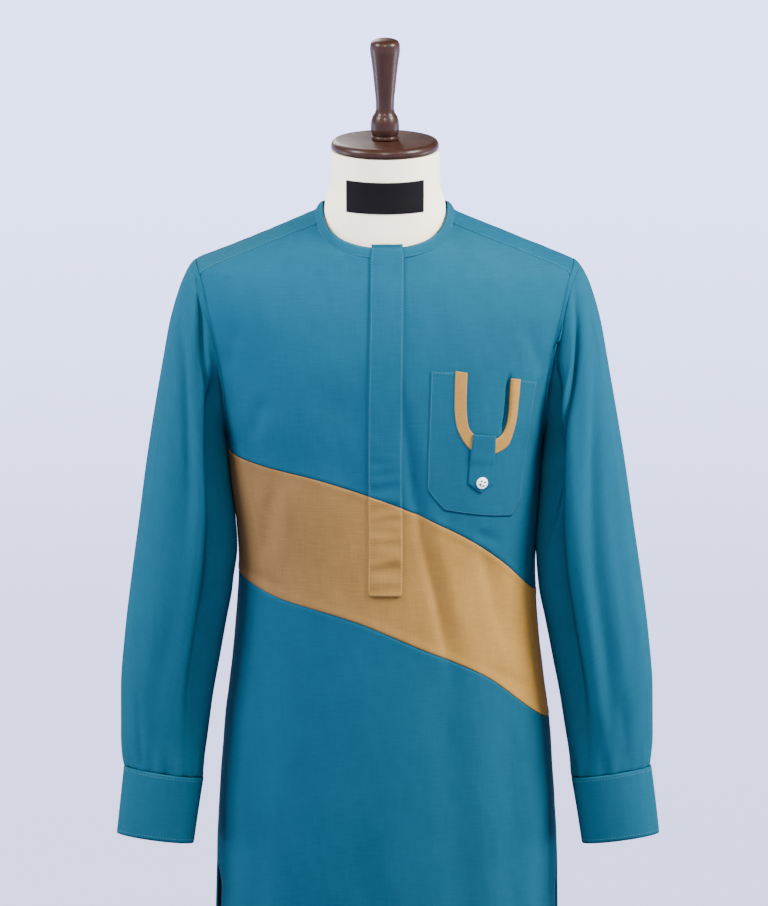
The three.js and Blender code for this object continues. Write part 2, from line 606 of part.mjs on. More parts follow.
// A closed wall round a sheet of points, half its thickness to either side, or between two
// given distances from it. Seen from outside, columns run to the right and rows run up. The
// rows below bodyRows lie on the garment's body and take its normals.
function wall(grid, { from = -CLOTH_WALL / 2, to = CLOTH_WALL / 2, closed = false, bodyRows = 0 } = {}) {
  const rows = grid.length;
  const columns = grid[0].length;
  const positions = [];
  const normal = (row, column) => (
    row < bodyRows ? bodyNormal(grid[row][column]) : sheetNormal(grid, row, column, closed)
  );
  [from, to].forEach((distance) => {
    grid.forEach((line, row) => line.forEach((point, column) => {
      positions.push(...point.clone().addScaledVector(normal(row, column), distance).toArray());
    }));
  });
  const inner = (row, column) => row * columns + (column % columns);
  const outer = (row, column) => rows * columns + inner(row, column);
  const faces = [];
  const quad = (a, b, c, d) => faces.push(a, b, c, a, c, d);
  const spans = closed ? columns : columns - 1;
  const top = rows - 1;
  const end = columns - 1;
  for (let row = 0; row < top; row += 1) {
    const next = row + 1;
    for (let column = 0; column < spans; column += 1) {
      const right = column + 1;
      quad(outer(row, column), outer(row, right), outer(next, right), outer(next, column));
      quad(inner(row, column), inner(next, column), inner(next, right), inner(row, right));
    }
  }
  for (let column = 0; column < spans; column += 1) {
    const right = column + 1;
    quad(inner(0, column), inner(0, right), outer(0, right), outer(0, column));
    quad(inner(top, column), outer(top, column), outer(top, right), inner(top, right));
  }
  if (!closed) {
    for (let row = 0; row < top; row += 1) {
      const next = row + 1;
      quad(inner(row, 0), outer(row, 0), outer(next, 0), inner(next, 0));
      quad(inner(row, end), inner(next, end), outer(next, end), outer(row, end));
    }
  }
  const geometry = new THREE.BufferGeometry();
  geometry.setAttribute('position', new THREE.Float32BufferAttribute(positions, 3));
  geometry.setIndex(faces);
  return geometry;
}

// Each back row runs from the wearer's right to left, so it is turned round to face outwards.
const facingBack = (grid) => grid.map((line) => [...line].reverse());

// Front and back

const frontYoke = yoke(-1);
const backYoke = yoke(1);
const underarm = () => UNDERARM_HEIGHT;
const hem = () => HEM_HEIGHT;

const frontUpper = [...levels(bandTop, underarm, ROWS.upper, -1), ...frontYoke.slice(1)];
const frontBand = levels(bandBottom, bandTop, ROWS.band, -1);
const frontLower = levels(hem, bandBottom, ROWS.lower, -1);
const backSheet = [...levels(hem, underarm, ROWS.back, 1), ...backYoke.slice(1)];
const ALL_EDGES = ['bottom', 'top', 'left', 'right'];
const NOT_HEM = ['top', 'left', 'right'];

const bodyWall = (grid, edges) => wall(trimmed(grid, edges), { bodyRows: grid.length });
const backWall = wall(facingBack(trimmed(backSheet, NOT_HEM)), { bodyRows: backSheet.length });

// Sleeves and cuffs

// The armhole as one loop: down its front edge from the shoulder seam, then up its back edge.
function armholeLoop(column) {
  const front = frontYoke.map((line) => line[column]).reverse();
  const back = backYoke.map((line) => line[column]);
  return [...front.slice(0, -1), ...back.slice(0, -1)];
}

// The turn round the arm of each point of the armhole: 0 at the ridge, 90 at the front, 180 at
// the underarm, and past 360 where the back panel reaches over the ridge.
const ringTurns = armholeLoop(COLUMNS).map((point, i) => {
  const [head] = SLEEVE_SECTIONS;
  const rise = (point.z - (head.outZ + head.inZ) / 2) / ((head.outZ - head.inZ) / 2);
  const turn = THREE.MathUtils.radToDeg(Math.atan2(-point.y / head.halfDepth, rise));
  return i < FRONT_ARM_ROWS ? turn : turn + 360;
});

// An oval ring of a sleeve or cuff. Table values are read through curves, so place may fall
// between two rows.
function ringReader(sections, side, swing) {
  const rows = sections.map((section, i) => ({ ...section, place: i / (sections.length - 1) }));
  const read = {};
  ['outX', 'outZ', 'inX', 'inZ', 'halfDepth', 'forward'].forEach((key) => {
    read[key] = through(rows, 'place', key);
  });
  const middleAt = (place) => new THREE.Vector3(
    (read.outX(place) + read.inX(place)) / 2,
    -read.forward(place),
    (read.outZ(place) + read.inZ(place)) / 2,
  );
  return (place, turn, swingShare) => {
    const middle = middleAt(place);
    const arm = new THREE.Vector3(
      read.outX(place) - read.inX(place),
      0,
      read.outZ(place) - read.inZ(place),
    );
    const step = 0.02;
    const below = middleAt(Math.min(1, place + step));
    const down = below.sub(middleAt(Math.max(0, place - step))).normalize();
    const forward = new THREE.Vector3(0, -1, 0);
    forward.addScaledVector(down, -forward.dot(down)).normalize();
    const point = middle
      .addScaledVector(arm, Math.cos(degrees(turn)) / 2)
      .addScaledVector(forward, Math.sin(degrees(turn)) * read.halfDepth(place));
    point.x = side * (point.x + swing * swingShare);
    return point;
  };
}

function sleeveFoldHeight(turn, along, fold) {
  const share = (along - fold.fromAlong) / (fold.toAlong - fold.fromAlong);
  const line = THREE.MathUtils.lerp(fold.fromTurn, fold.toTurn, share);
  const away = (turn - line) / fold.width;
  const { smoothstep } = THREE.MathUtils;
  const fade = smoothstep(share, -0.25, 0.2) * (1 - smoothstep(share, 0.8, 1.25));
  return fold.depth * fade * Math.exp(-away * away);
}

function sleeveRings(arm) {
  const column = arm.side < 0 ? 0 : COLUMNS;
  const loop = armholeLoop(column);
  const ring = ringReader(SLEEVE_SECTIONS, arm.side, arm.swing);
  const lipDirection = loop.map((point, i) => {
    const before = loop[(i + loop.length - 1) % loop.length];
    const after = loop[(i + 1) % loop.length];
    const along = after.clone().sub(before).normalize();
    return bodyNormal(point).cross(along).multiplyScalar(arm.side).normalize();
  });
  const rings = [SEAM_GAP, SLEEVE_LIP].map((distance) => (
    loop.map((point, i) => point.clone().addScaledVector(lipDirection[i], distance))
  ));
  for (let step = 1; step <= SLEEVE_STEPS; step += 1) {
    const along = step / SLEEVE_STEPS;
    const blend = Math.max(0, 1 - along / HEAD_BLEND) ** 2;
    rings.push(ringTurns.map((turn, i) => {
      const point = ring(along, turn, along ** 2);
      const shift = rings[1][i].clone().sub(ring(0, turn, 0));
      return point.addScaledVector(shift, blend);
    }));
  }
  return rings.map((line, row) => line.map((point, i) => {
    if (row < 2) return point;
    const along = (row - 1) / SLEEVE_STEPS;
    const turn = ringTurns[i];
    const folds = SLEEVE_FOLDS[arm.name];
    const lift = folds.reduce((sum, fold) => sum + sleeveFoldHeight(turn, along, fold), 0);
    const outward = sheetNormal(rings, row, i, true).multiplyScalar(arm.side);
    return point.clone().addScaledVector(outward, lift);
  }));
}

function cuffRings(arm) {
  const ring = ringReader(CUFF_SECTIONS, arm.side, arm.swing);
  return [0, 0.5, 1].map((place) => (
    ringTurns.map((turn) => ring(place, turn, 1 + CUFF_SWING * place))
  ));
}

// Rings run down the arm, so their order decides which way the wall faces.
function tubeWall(rings, arm, thickness, bodyRows = 0) {
  const grid = arm.side > 0 ? rings : rings.map((line) => [...line].reverse());
  return wall(grid, { from: -thickness / 2, to: thickness / 2, closed: true, bodyRows });
}

// Neck binding and placket

const frontTurns = 2 * NECK_SEAM.shoulderTurn;
const bindingTurns = [];
for (let i = 0; i < BINDING.halfTurns; i += 1) {
  bindingTurns.push(-NECK_SEAM.shoulderTurn + (frontTurns * i) / BINDING.halfTurns);
}
for (let i = 0; i < BINDING.halfTurns; i += 1) {
  bindingTurns.push(NECK_SEAM.shoulderTurn + ((360 - frontTurns) * i) / BINDING.halfTurns);
}

// A point across the binding, from 0 at the neck seam to 1 at its free edge.
function bindingPoint(turn, place) {
  const seam = neckSeam(turn > 180 ? turn - 360 : turn);
  const inward = new THREE.Vector3(seam.x, seam.y, 0).normalize().multiplyScalar(-1);
  const roll = BINDING.roll * Math.sin(Math.PI * place);
  return seam
    .addScaledVector(inward, BINDING.lean * place - roll)
    .add(new THREE.Vector3(0, 0, BINDING.rise * place + roll));
}

const bindingSheet = [0, 0.5, 1].map((place) => bindingTurns.map((turn) => bindingPoint(turn, place)));

const PLACKET_COLUMNS = [-1, -0.4, 0.4, 1];
const neckFrontHeight = neckSeam(0).z;

function placketCentre(height) {
  const share = (height - PLACKET.bottom) / (neckFrontHeight - PLACKET.bottom);
  return THREE.MathUtils.lerp(PLACKET.bottomCentre, PLACKET.topCentre, share);
}

// The placket's rows between two edges, lying on the front.
function placketRows(lowEdge, highEdge, rows) {
  const grid = [];
  for (let row = 0; row <= rows; row += 1) {
    grid.push(PLACKET_COLUMNS.map((share) => {
      const across = (height) => placketCentre(height) + (share * PLACKET.width) / 2;
      const low = lowEdge(across(PLACKET.bottom));
      const high = highEdge(across(neckFrontHeight));
      const height = THREE.MathUtils.lerp(low, high, row / rows);
      return draped(bodyPoint(across(height), height, -1));
    }));
  }
  return grid;
}

// The turn round the neck at a place across the front.
const neckTurn = (x) => Math.sign(x) * THREE.MathUtils.radToDeg(
  Math.asin((Math.abs(x) / NECK_SEAM.halfWidth) ** (NECK_SEAM.squareness / 2)),
);

const LAY_GAP = 0.6;
const ON_FRONT = CLOTH_WALL / 2 + LAY_GAP;
const overBinding = [0.1, 0.5, 0.97].map((place) => PLACKET_COLUMNS.map((share) => (
  bindingPoint(neckTurn(PLACKET.topCentre + (share * PLACKET.width) / 2), place)
)));
const placketUpper = [...placketRows(bandTop, () => PLACKET.top, 12), ...overBinding];
const placketLower = placketRows(() => PLACKET.bottom, bandTop, 4);
[0, PLACKET_COLUMNS.length - 1].forEach((column) => {
  placketLower[0][column].z += PLACKET.corner;
});
const placketWall = (grid, edges) => (
  wall(trimmed(grid, edges), { from: ON_FRONT, to: ON_FRONT + PLACKET.wall })
);

// Pocket, edging, tab and snap

const frontPoint = (x, z) => draped(bodyPoint(x, z, -1));
const layer = (below, thickness) => ({ from: below + LAY_GAP, to: below + LAY_GAP + thickness });
const pocketLayer = layer(CLOTH_WALL / 2, POCKET_WALL);
const trimLayer = layer(pocketLayer.to, TRIM_WALL);
const tabLayer = layer(trimLayer.to, TAB.wall);

// The pocket's lines with one more halfway between each two, so that it follows the chest.
const pocketLines = POCKET_LINES.flatMap((line, i) => {
  if (i === 0) return [line];
  const before = POCKET_LINES[i - 1];
  const halfway = {};
  Object.keys(line).forEach((key) => {
    halfway[key] = (line[key] + before[key]) / 2;
  });
  return [halfway, line];
});

// A ribbon round the mouth between two of the pocket's lines, by their share from line to line.
function mouthRibbon(fromKey, toKey, steps) {
  const grid = [];
  for (let step = 0; step <= steps; step += 1) {
    grid.push(pocketLines.map((line) => frontPoint(
      THREE.MathUtils.lerp(line[`${toKey}X`], line[`${fromKey}X`], step / steps),
      THREE.MathUtils.lerp(line[`${toKey}Z`], line[`${fromKey}Z`], step / steps),
    )));
  }
  return grid;
}

const pocketSheet = mouthRibbon('edge', 'out', 6);
const trimSheet = mouthRibbon('edge', 'trim', 2);

const tabSheet = [...TAB_ROWS].reverse().map((row, i) => [0, 0.25, 0.5, 0.75, 1].map((share) => {
  const x = THREE.MathUtils.lerp(row.left, row.right, share);
  const point = i === 0 ? TAB.point * (1 - Math.abs(2 * share - 1)) : 0;
  return frontPoint(x, row.height + row.drop * share - point);
}));

// A turned piece about the Z axis from an outline of radius and height.
function turned(outline, segments, bottom = 0) {
  const points = outline.map(({ radius, height }) => new THREE.Vector2(radius, height + bottom));
  return new THREE.LatheGeometry(points, segments).rotateX(Math.PI / 2);
}

function snapGeometry() {
  const seat = bodyPoint(SNAP.across, SNAP.height, -1);
  const normal = bodyNormal(seat);
  const lift = tabLayer.to + SNAP.gap;
  const geometry = turned(SNAP_OUTLINE, 20);
  const turn = new THREE.Quaternion().setFromUnitVectors(new THREE.Vector3(0, 0, 1), normal);
  geometry.applyQuaternion(turn);
  const place = draped(seat).addScaledVector(normal, lift);
  return geometry.translate(place.x, place.y, place.z);
}

// The dress form

// A point on a level section, by its turn from the middle of the front.
function ovalPoint(section, turn) {
  const [sine, cosine] = [Math.sin(degrees(turn)), Math.cos(degrees(turn))];
  const power = 2 / section.squareness;
  const depth = cosine > 0 ? section.front : section.back;
  return new THREE.Vector3(
    Math.sign(sine) * section.halfWidth * Math.abs(sine) ** power,
    -Math.sign(cosine) * depth * Math.abs(cosine) ** power,
    section.height,
  );
}

// A stack of level sections as one closed body.
function stack(sections, turns) {
  const positions = [];
  sections.forEach((section) => {
    for (let i = 0; i < turns; i += 1) positions.push(...ovalPoint(section, (360 * i) / turns).toArray());
  });
  const bottom = positions.length / 3;
  positions.push(0, 0, sections[0].height, 0, 0, sections[sections.length - 1].height);
  const faces = [];
  for (let i = 0; i < turns; i += 1) {
    const next = (i + 1) % turns;
    faces.push(bottom, next, i);
    const top = (sections.length - 1) * turns;
    faces.push(bottom + 1, top + i, top + next);
    for (let row = 0; row < sections.length - 1; row += 1) {
      const low = row * turns;
      const high = low + turns;
      faces.push(low + i, low + next, high + next, low + i, high + next, high + i);
    }
  }
  const geometry = new THREE.BufferGeometry();
  geometry.setAttribute('position', new THREE.Float32BufferAttribute(positions, 3));
  geometry.setIndex(faces);
  return geometry;
}

function toSolid(geometry) {
  const clean = geometry.clone();
  clean.deleteAttribute('normal');
  clean.deleteAttribute('uv');
  const merged = mergeVertices(clean, 1e-4);
  return new wasm.Manifold(new wasm.Mesh({
    numProp: 3,
    vertProperties: merged.attributes.position.array,
    triVerts: new Uint32Array(merged.index.array),
  }));
}

function fromSolid(solid) {
  const mesh = solid.getMesh();
  const geometry = new THREE.BufferGeometry();
  geometry.setAttribute('position', new THREE.BufferAttribute(mesh.vertProperties, 3));
  geometry.setIndex(new THREE.BufferAttribute(mesh.triVerts, 1));
  return geometry;
}

// The form's shoulders follow the cloth that rests on their ridge, just inside it.
function shoulderSections() {
  const sections = [];
  const { bottom, top, step, reach, taper } = FORM_SHOULDER;
  for (let height = bottom; height <= top; height += step) {
    const cloth = height + CLOTH_WALL / 2 + FORM.ridgeEase;
    sections.push({
      height,
      halfWidth: Math.min(halfWidth(cloth), reach - taper * (height - bottom)),
      front: frontDepth(cloth) - FORM.frontEase,
      back: backDepth(cloth) - FORM.backEase,
      squareness: squareness(cloth),
    });
  }
  return sections;
}

const formSections = FORM_SECTIONS.map((section) => ({ ...section, squareness: FORM.squareness }));
const neckSections = FORM_NECK.map((section) => ({ ...section, squareness: FORM.neckSquareness }));
const torso = toSolid(stack([...formSections, ...shoulderSections()], FORM.turns));
const neck = toSolid(stack(neckSections, FORM.turns));
const formGeometry = fromSolid(torso.add(neck));

// The label's sheet round the front of the neck.
const neckHalfWidth = through(FORM_NECK, 'height', 'halfWidth');
const neckFront = through(FORM_NECK, 'height', 'front');
const labelSheet = [-1, 0, 1].map((row) => {
  const height = LABEL.height + row * LABEL.halfHeight;
  const section = {
    height,
    halfWidth: neckHalfWidth(height),
    front: neckFront(height),
    squareness: FORM.neckSquareness,
  };
  const line = [];
  for (let i = 0; i <= LABEL.turns; i += 1) {
    line.push(ovalPoint(section, LABEL.halfTurn * (-1 + (2 * i) / LABEL.turns)));
  }
  return line;
});

const capOutline = [
  { radius: 0, height: 0 },
  { radius: NECK_CAP.radius - NECK_CAP.round, height: 0 },
  { radius: NECK_CAP.radius, height: NECK_CAP.round },
  { radius: NECK_CAP.radius, height: NECK_CAP.thickness - NECK_CAP.round },
  { radius: NECK_CAP.radius - NECK_CAP.round, height: NECK_CAP.thickness },
  { radius: 0, height: NECK_CAP.thickness },
];
const capTop = NECK_CAP.underside + NECK_CAP.thickness;
const baseTop = BASE_OUTLINE[BASE_OUTLINE.length - 1].height;
const poleOutline = [
  { radius: 0, height: baseTop + SEAM_GAP },
  { radius: POLE_RADIUS, height: baseTop + SEAM_GAP },
  { radius: POLE_RADIUS, height: FORM_SECTIONS[0].height - SEAM_GAP },
  { radius: 0, height: FORM_SECTIONS[0].height - SEAM_GAP },
];

// The scene

const group = new THREE.Group();
const materials = {
  teal: { color: COLOURS.teal, roughness: 0.8, metalness: 0 },
  tan: { color: COLOURS.tan, roughness: 0.8, metalness: 0 },
  cream: { color: COLOURS.cream, roughness: 0.9, metalness: 0 },
  walnut: { color: COLOURS.walnut, roughness: 0.35, metalness: 0 },
  black: { color: COLOURS.black, roughness: 0.7, metalness: 0 },
  steel: { color: COLOURS.steel, roughness: 0.25, metalness: 1 },
};

function addPiece(name, geometry, material) {
  const mesh = new THREE.Mesh(geometry, new THREE.MeshStandardMaterial(materials[material]));
  mesh.name = name;
  group.add(mesh);
}

addPiece('front_upper', bodyWall(frontUpper, ALL_EDGES), 'teal');
addPiece('front_band', bodyWall(frontBand, ALL_EDGES), 'tan');
addPiece('front_lower', bodyWall(frontLower, NOT_HEM), 'teal');
addPiece('back', backWall, 'teal');
ARMS.forEach((arm) => {
  addPiece(`sleeve_${arm.name}`, tubeWall(sleeveRings(arm), arm, CLOTH_WALL, 2), 'teal');
  addPiece(`cuff_${arm.name}`, tubeWall(cuffRings(arm), arm, CUFF_WALL), 'teal');
});
addPiece('neck_binding', wall(trimmed(bindingSheet, ['bottom'], BINDING.seamTrim), {
  from: -BINDING.wall / 2, to: BINDING.wall / 2, closed: true,
}), 'teal');
addPiece('placket_upper', placketWall(placketUpper, ['bottom']), 'teal');
addPiece('placket_lower', placketWall(placketLower, ['top']), 'tan');
addPiece('pocket', wall(pocketSheet, pocketLayer), 'teal');
addPiece('pocket_trim', wall(trimSheet, trimLayer), 'tan');
addPiece('pocket_tab', wall(tabSheet, tabLayer), 'teal');
addPiece('snap_button', snapGeometry(), 'steel');
addPiece('form_body', formGeometry, 'cream');
addPiece('form_label', wall(labelSheet, { from: LABEL.gap, to: LABEL.gap + LABEL.wall }), 'black');
addPiece('neck_cap', turned(capOutline, 40, NECK_CAP.underside), 'walnut');
addPiece('finial', turned(FINIAL_OUTLINE, 20, capTop), 'walnut');
addPiece('pole', turned(poleOutline, 24), 'steel');
addPiece('base', turned(BASE_OUTLINE, 48), 'walnut');

export default group;
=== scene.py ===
"""The looks of a long-sleeved kaftan on a dress form: cloth, stitching, wood and studio light."""

import logging
import math
from collections.abc import Callable
from dataclasses import dataclass, field, replace
from enum import Enum

import bpy
import numpy as np
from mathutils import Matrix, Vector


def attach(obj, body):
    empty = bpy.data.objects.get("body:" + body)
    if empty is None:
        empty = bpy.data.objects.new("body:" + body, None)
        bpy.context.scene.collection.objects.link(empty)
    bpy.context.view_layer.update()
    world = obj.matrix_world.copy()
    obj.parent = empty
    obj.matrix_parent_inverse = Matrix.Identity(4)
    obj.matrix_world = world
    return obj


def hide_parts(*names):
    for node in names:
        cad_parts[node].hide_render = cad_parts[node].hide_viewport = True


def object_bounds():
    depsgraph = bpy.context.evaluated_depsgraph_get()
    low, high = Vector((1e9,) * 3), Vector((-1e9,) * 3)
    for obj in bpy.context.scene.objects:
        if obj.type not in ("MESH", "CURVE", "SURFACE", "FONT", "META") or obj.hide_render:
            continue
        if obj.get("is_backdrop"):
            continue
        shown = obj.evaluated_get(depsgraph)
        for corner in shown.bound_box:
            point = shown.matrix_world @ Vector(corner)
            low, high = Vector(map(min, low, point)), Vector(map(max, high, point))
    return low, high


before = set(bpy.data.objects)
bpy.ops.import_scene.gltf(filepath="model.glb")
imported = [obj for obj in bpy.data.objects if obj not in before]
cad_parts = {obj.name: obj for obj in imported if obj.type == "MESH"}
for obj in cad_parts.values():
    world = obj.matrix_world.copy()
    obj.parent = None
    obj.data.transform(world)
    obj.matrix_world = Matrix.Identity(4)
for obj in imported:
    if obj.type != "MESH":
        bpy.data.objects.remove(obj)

LOG = logging.getLogger("kaftan")
Array = np.ndarray
Curve = Callable[[Array], Array]
Place = tuple[float, float, float]
MM = 0.001

# Sizes of the garment's body in millimetres: height, half width, front depth, back depth, squareness
BODY_SECTIONS = (
    (455, 213, 139, 134, 2.25), (620, 206, 137, 132, 2.25), (700, 204.5, 135, 131, 2.25),
    (750, 202, 133.5, 130, 2.25), (800, 198.5, 131.5, 128, 2.25), (850, 195, 130, 126, 2.25),
    (900, 189, 128.5, 124, 2.25), (950, 183.5, 127, 122, 2.25), (1000, 179.5, 126, 120.5, 2.28),
    (1042, 178, 125.5, 119.5, 2.32), (1090, 180.5, 126, 119, 2.48), (1140, 185.5, 127, 119, 2.65),
    (1200, 190.5, 127.5, 119, 2.85), (1226, 195, 127, 118.5, 2.95), (1266, 204.5, 125.5, 117.5, 2.8),
    (1303, 218, 122.5, 115.5, 2.6), (1331, 229, 118, 113, 2.5), (1364, 238.5, 110, 108.5, 2.4),
    (1390, 241, 101, 102.5, 2.2), (1405, 238, 94, 98, 2.08), (1412.3, 226.5, 90, 95, 2.0),
    (1425, 196.6, 84, 91.5, 1.85), (1434, 175.5, 79.5, 88, 1.7), (1445, 149.6, 66, 83, 1.6),
    (1455, 126.2, 49, 78, 1.6), (1466, 100.3, 33, 73, 1.6), (1475, 79.2, 22, 70, 1.6),
    (1495, 32, 12, 60, 1.6),
)
ARMHOLE = (
    (1200, 190.5), (1226, 191), (1266, 193), (1303, 198.5), (1331, 204.5), (1364, 213),
    (1390, 218.5), (1402, 222), (1412.3, 226.5),
)
BAND_TOP = (
    (-192, 1188), (-142, 1180), (-89, 1170), (-20, 1149), (20, 1134), (94, 1096), (138, 1061), (182, 1006),
)
BAND_BOTTOM = ((-180, 1034), (-128, 1017), (-87, 1008), (-37, 994), (41, 961), (116, 925), (196, 852))
HEM, UNDERARM = 455.0, 1200.0
BODY_LEAN, LEAN_DROP = 2.4, 120.0
VENT_TOP, VENT_PARTING, VENT_DROOP, VENT_LEFT, VENT_RIGHT = 682.0, 9.0, 45.0, 6.5, 2.5
TIP_REACH, TIP_HEIGHT, TIP_DROP = 226.5, 1412.3, 6.0
SHOULDER_NECK, SHOULDER_TIP = (80.4, 22.0), (222.0, 38.0)
NECK_HALF, NECK_FRONT, NECK_BACK, NECK_SQUARE, NECK_CORNER = 82.0, 80.0, 72.0, 2.4, 77.7
RIDGE_SOFTNESS, NECK_ROUNDING = 41.0, 75.0
ROW_GRADING, ARMHOLE_GRADING, OVER_RIDGE = 1.4, 1.25, 0.24

# Sleeve sections: outer point (x, z), inner point (x, z), half depth, forward hang
SLEEVE_SECTIONS = (
    (226.5, 1412, 191, 1203, 66, 0), (234.5, 1405, 193.8, 1206, 67, 1), (242.5, 1391, 195, 1199, 68, 4),
    (251, 1368, 193.4, 1176, 68, 8), (259, 1338, 190, 1145, 68, 12), (267, 1292, 186.2, 1108, 67.5, 16),
    (277, 1232, 182.8, 1062, 66, 19.5), (287, 1168, 184.5, 1018, 64, 23), (296, 1100, 191, 976, 61, 26.5),
    (305.5, 1030, 199, 930, 57, 29), (313.5, 960, 207, 886, 52, 31.5), (318, 895, 212.5, 846, 47, 34.7),
    (317.5, 840, 217, 812, 42, 39), (314, 799, 220, 784.5, 38, 43),
)
CUFF_SECTIONS = (
    (314.4, 798.4, 219.6, 784, 38.2, 43.2), (319, 758, 225.5, 745, 37.4, 48),
    (323.5, 717.5, 231, 705, 36.6, 52.5),
)
HEAD_BLEND = 0.35

# How sewn and cut edges are finished: rows of margin and limit, then widths, in millimetres
TUCK_ROWS = ((0.45, 0.3), (1.0, 0.6))
TUCK_WIDTH, RIM_WIDTH = 0.6, 1.2

# The pocket, line by line round its mouth: mouth edge (x, z), edging's rim (x, z), outline (x, z)
POCKET_LINES = (
    (98.8, 1298, 84.8, 1300.6, 55.2, 1300.6), (98, 1280, 83.9, 1280, 54.4, 1266),
    (97.6, 1258, 83.7, 1257, 53.2, 1228), (99.5, 1235, 85.8, 1236, 52, 1190),
    (105.6, 1224, 91.6, 1220, 51, 1155), (112.5, 1218.5, 99.5, 1208, 60, 1142),
    (119, 1216.5, 109, 1200.5, 70.3, 1130), (124, 1215.5, 121, 1197, 97, 1124.5),
    (129, 1215, 130, 1197, 124, 1119.5), (134.3, 1216, 138.5, 1200, 149.5, 1116),
    (140.5, 1220.5, 147, 1206, 155, 1124), (144.8, 1228, 154.0, 1224.5, 160, 1132.5),
    (148, 1240, 157.4, 1242, 166, 1172), (149.6, 1256, 159.0, 1258, 172, 1211),
    (150.6, 1272, 160.4, 1271, 177, 1246), (151.4, 1288, 161.7, 1286, 182, 1280),
)
TAB_ROWS = ((1161, 100.7, 130.4, -2), (1172, 101.8, 131.4, -2.5), (1189, 103.6, 132.6, -3),
            (1208, 105.4, 133.4, -3.5), (1222, 106.6, 133.7, -4))
TAB_POINT, TAB_LIFT, SNAP_CLEAR = 12.0, 2.2, 0.6
SNAP_PLACE = (116.9, 1161.0)
POCKET_SHIFT = (-0.5, 1.4)
TAB_SHIFT = (-2.2, 3.2)
SNAP_BEZEL = ((0, 0), (6.7, 0), (7.1, 0.4), (7.1, 1.0), (6.6, 1.5), (5.8, 1.6), (5.3, 1.5))
SNAP_FACETS = ((5.3, 1.4), (4.6, 2.1), (2.0, 2.9), (0, 2.9))
SNAP_SIDES = (48, 8)

# The form: height, half width, front depth, back depth
FORM_SECTIONS = (
    (786, 158, 104, 104), (790, 164, 109, 109), (880, 168, 112, 112), (960, 160, 106, 104),
    (1040, 150, 102, 96), (1120, 157, 107, 98), (1200, 168, 114, 104), (1266, 180, 116, 107),
    (1320, 189, 112, 106), (1364, 199, 103, 101), (1390, 206, 94, 95),
)
FORM_NECK = ((1400, 76, 72, 66), (1444, 75, 69.8, 65), (1470, 74.4, 67.2, 64), (1484, 71.9, 65.8, 63.2),
             (1493, 69.4, 65.2, 63.1), (1504, 66.6, 64.6, 63), (1548, 65, 64, 63))
TORSO_SQUARE, FORM_NECK_SQUARE, FORM_TURNS = 2.2, 2.05, 96
LABEL_HALF, LABEL_HEIGHTS, LABEL_THICKNESS, LABEL_RISE = 46.0, (1482.5, 1520.5), 0.8, 0.7

# Turned pieces: radius and height, from the axis out and back to it
CAP = ((0, 1548.3), (60.5, 1548.3), (63.6, 1549.2), (64.8, 1551), (65, 1553), (64.6, 1555.6),
       (63.2, 1558), (61.2, 1559.5), (58.4, 1560.2), (0, 1560.3))
CAP_TOP = 1560.3
HANDLE = ((0, 0.3), (15, 0.3), (16.4, 1.6), (16.4, 3.4), (15.2, 5.2), (16.2, 8), (17.2, 14),
          (16.9, 21), (15, 28), (12, 33.4), (11, 39), (11.2, 48), (12.6, 62), (14.4, 80),
          (16.6, 98), (18.2, 110), (17.9, 115.6), (16.2, 119.8), (12.5, 122.2), (6, 123.5),
          (0, 123.8))
FINIAL = tuple((radius, height + CAP_TOP) for radius, height in HANDLE)
POLE = ((0, 34.3), (15.4, 34.3), (16, 35), (16, 785), (15.4, 785.7), (0, 785.7))
FOOT = ((0, 0), (195, 0), (198.6, 1.4), (200, 4), (199.8, 9), (197.6, 14), (192, 18),
        (130, 21.6), (60, 26), (42, 29), (33, 33), (30, 34), (0, 34))
STAND = (("neck_cap", CAP, "walnut", 96), ("finial", FINIAL, "walnut", 64),
         ("pole", POLE, "steel", 48), ("base", FOOT, "walnut", 128))

# Lights: name, place, aim, size in metres, watts, colour
LIGHTS = (
    ("key", (0.0, -2.5, 3.4), (0.0, 0.0, 1.1), 0.8, 122, (1.0, 0.985, 0.96)),
    ("left", (-2.4, -0.85, 3.2), (-0.1, 0.0, 1.0), 1.1, 280, (0.99, 0.99, 1.0)),
    ("right", (2.4, -0.85, 3.2), (0.1, 0.0, 1.0), 1.1, 415, (1.0, 0.985, 0.95)),
    ("left edge", (-2.3, 0.25, 0.85), (0.0, 0.0, 0.85), 0.8, 34, (1.0, 0.99, 0.97)),
    ("right edge", (2.3, 0.2, 0.85), (0.0, 0.0, 0.85), 0.8, 44, (1.0, 0.99, 0.95)),
    ("rear", (-0.9, 2.7, 2.7), (0.0, 0.0, 1.1), 1.4, 90, (1.0, 1.0, 1.0)),
)
ROOM_COLOUR, ROOM_STRENGTH = (0.80, 0.84, 0.92, 1), 0.05
FLOOR_REACH, FLOOR_DROP = 120.0, 0.0005
SQUARE_CORNERS = ((-1, -1), (1, -1), (1, 1), (-1, 1))
SENSOR, CAMERA_FAR = 36.0, 1000.0


def smoothstep(value: Array, low: float, high: float) -> Array:
    """A smooth rise from 0 at low to 1 at high."""
    share = np.clip((np.asarray(value, float) - low) / (high - low), 0, 1)
    return share * share * (3 - 2 * share)


def unit(vectors: Array) -> Array:
    """Vectors at length one."""
    return vectors / np.maximum(np.linalg.norm(vectors, axis=-1, keepdims=True), 1e-12)


def lerp(low: Array, high: Array, share: Array) -> Array:
    """The value a share of the way from low to high."""
    return low + (high - low) * share


def bell(value: Array, width: float) -> Array:
    """A smooth hump of 1 where the value is 0, with a half width."""
    return np.exp(-((value / width) ** 2))


def signed_power(value: Array, power: Array | float) -> Array:
    """The size of a value to a power, with the value's own sign."""
    return np.sign(value) * np.abs(value) ** power


def sine_cosine(degrees: Array) -> tuple[Array, Array]:
    """The sine and cosine of angles in degrees."""
    return np.sin(np.radians(degrees)), np.cos(np.radians(degrees))


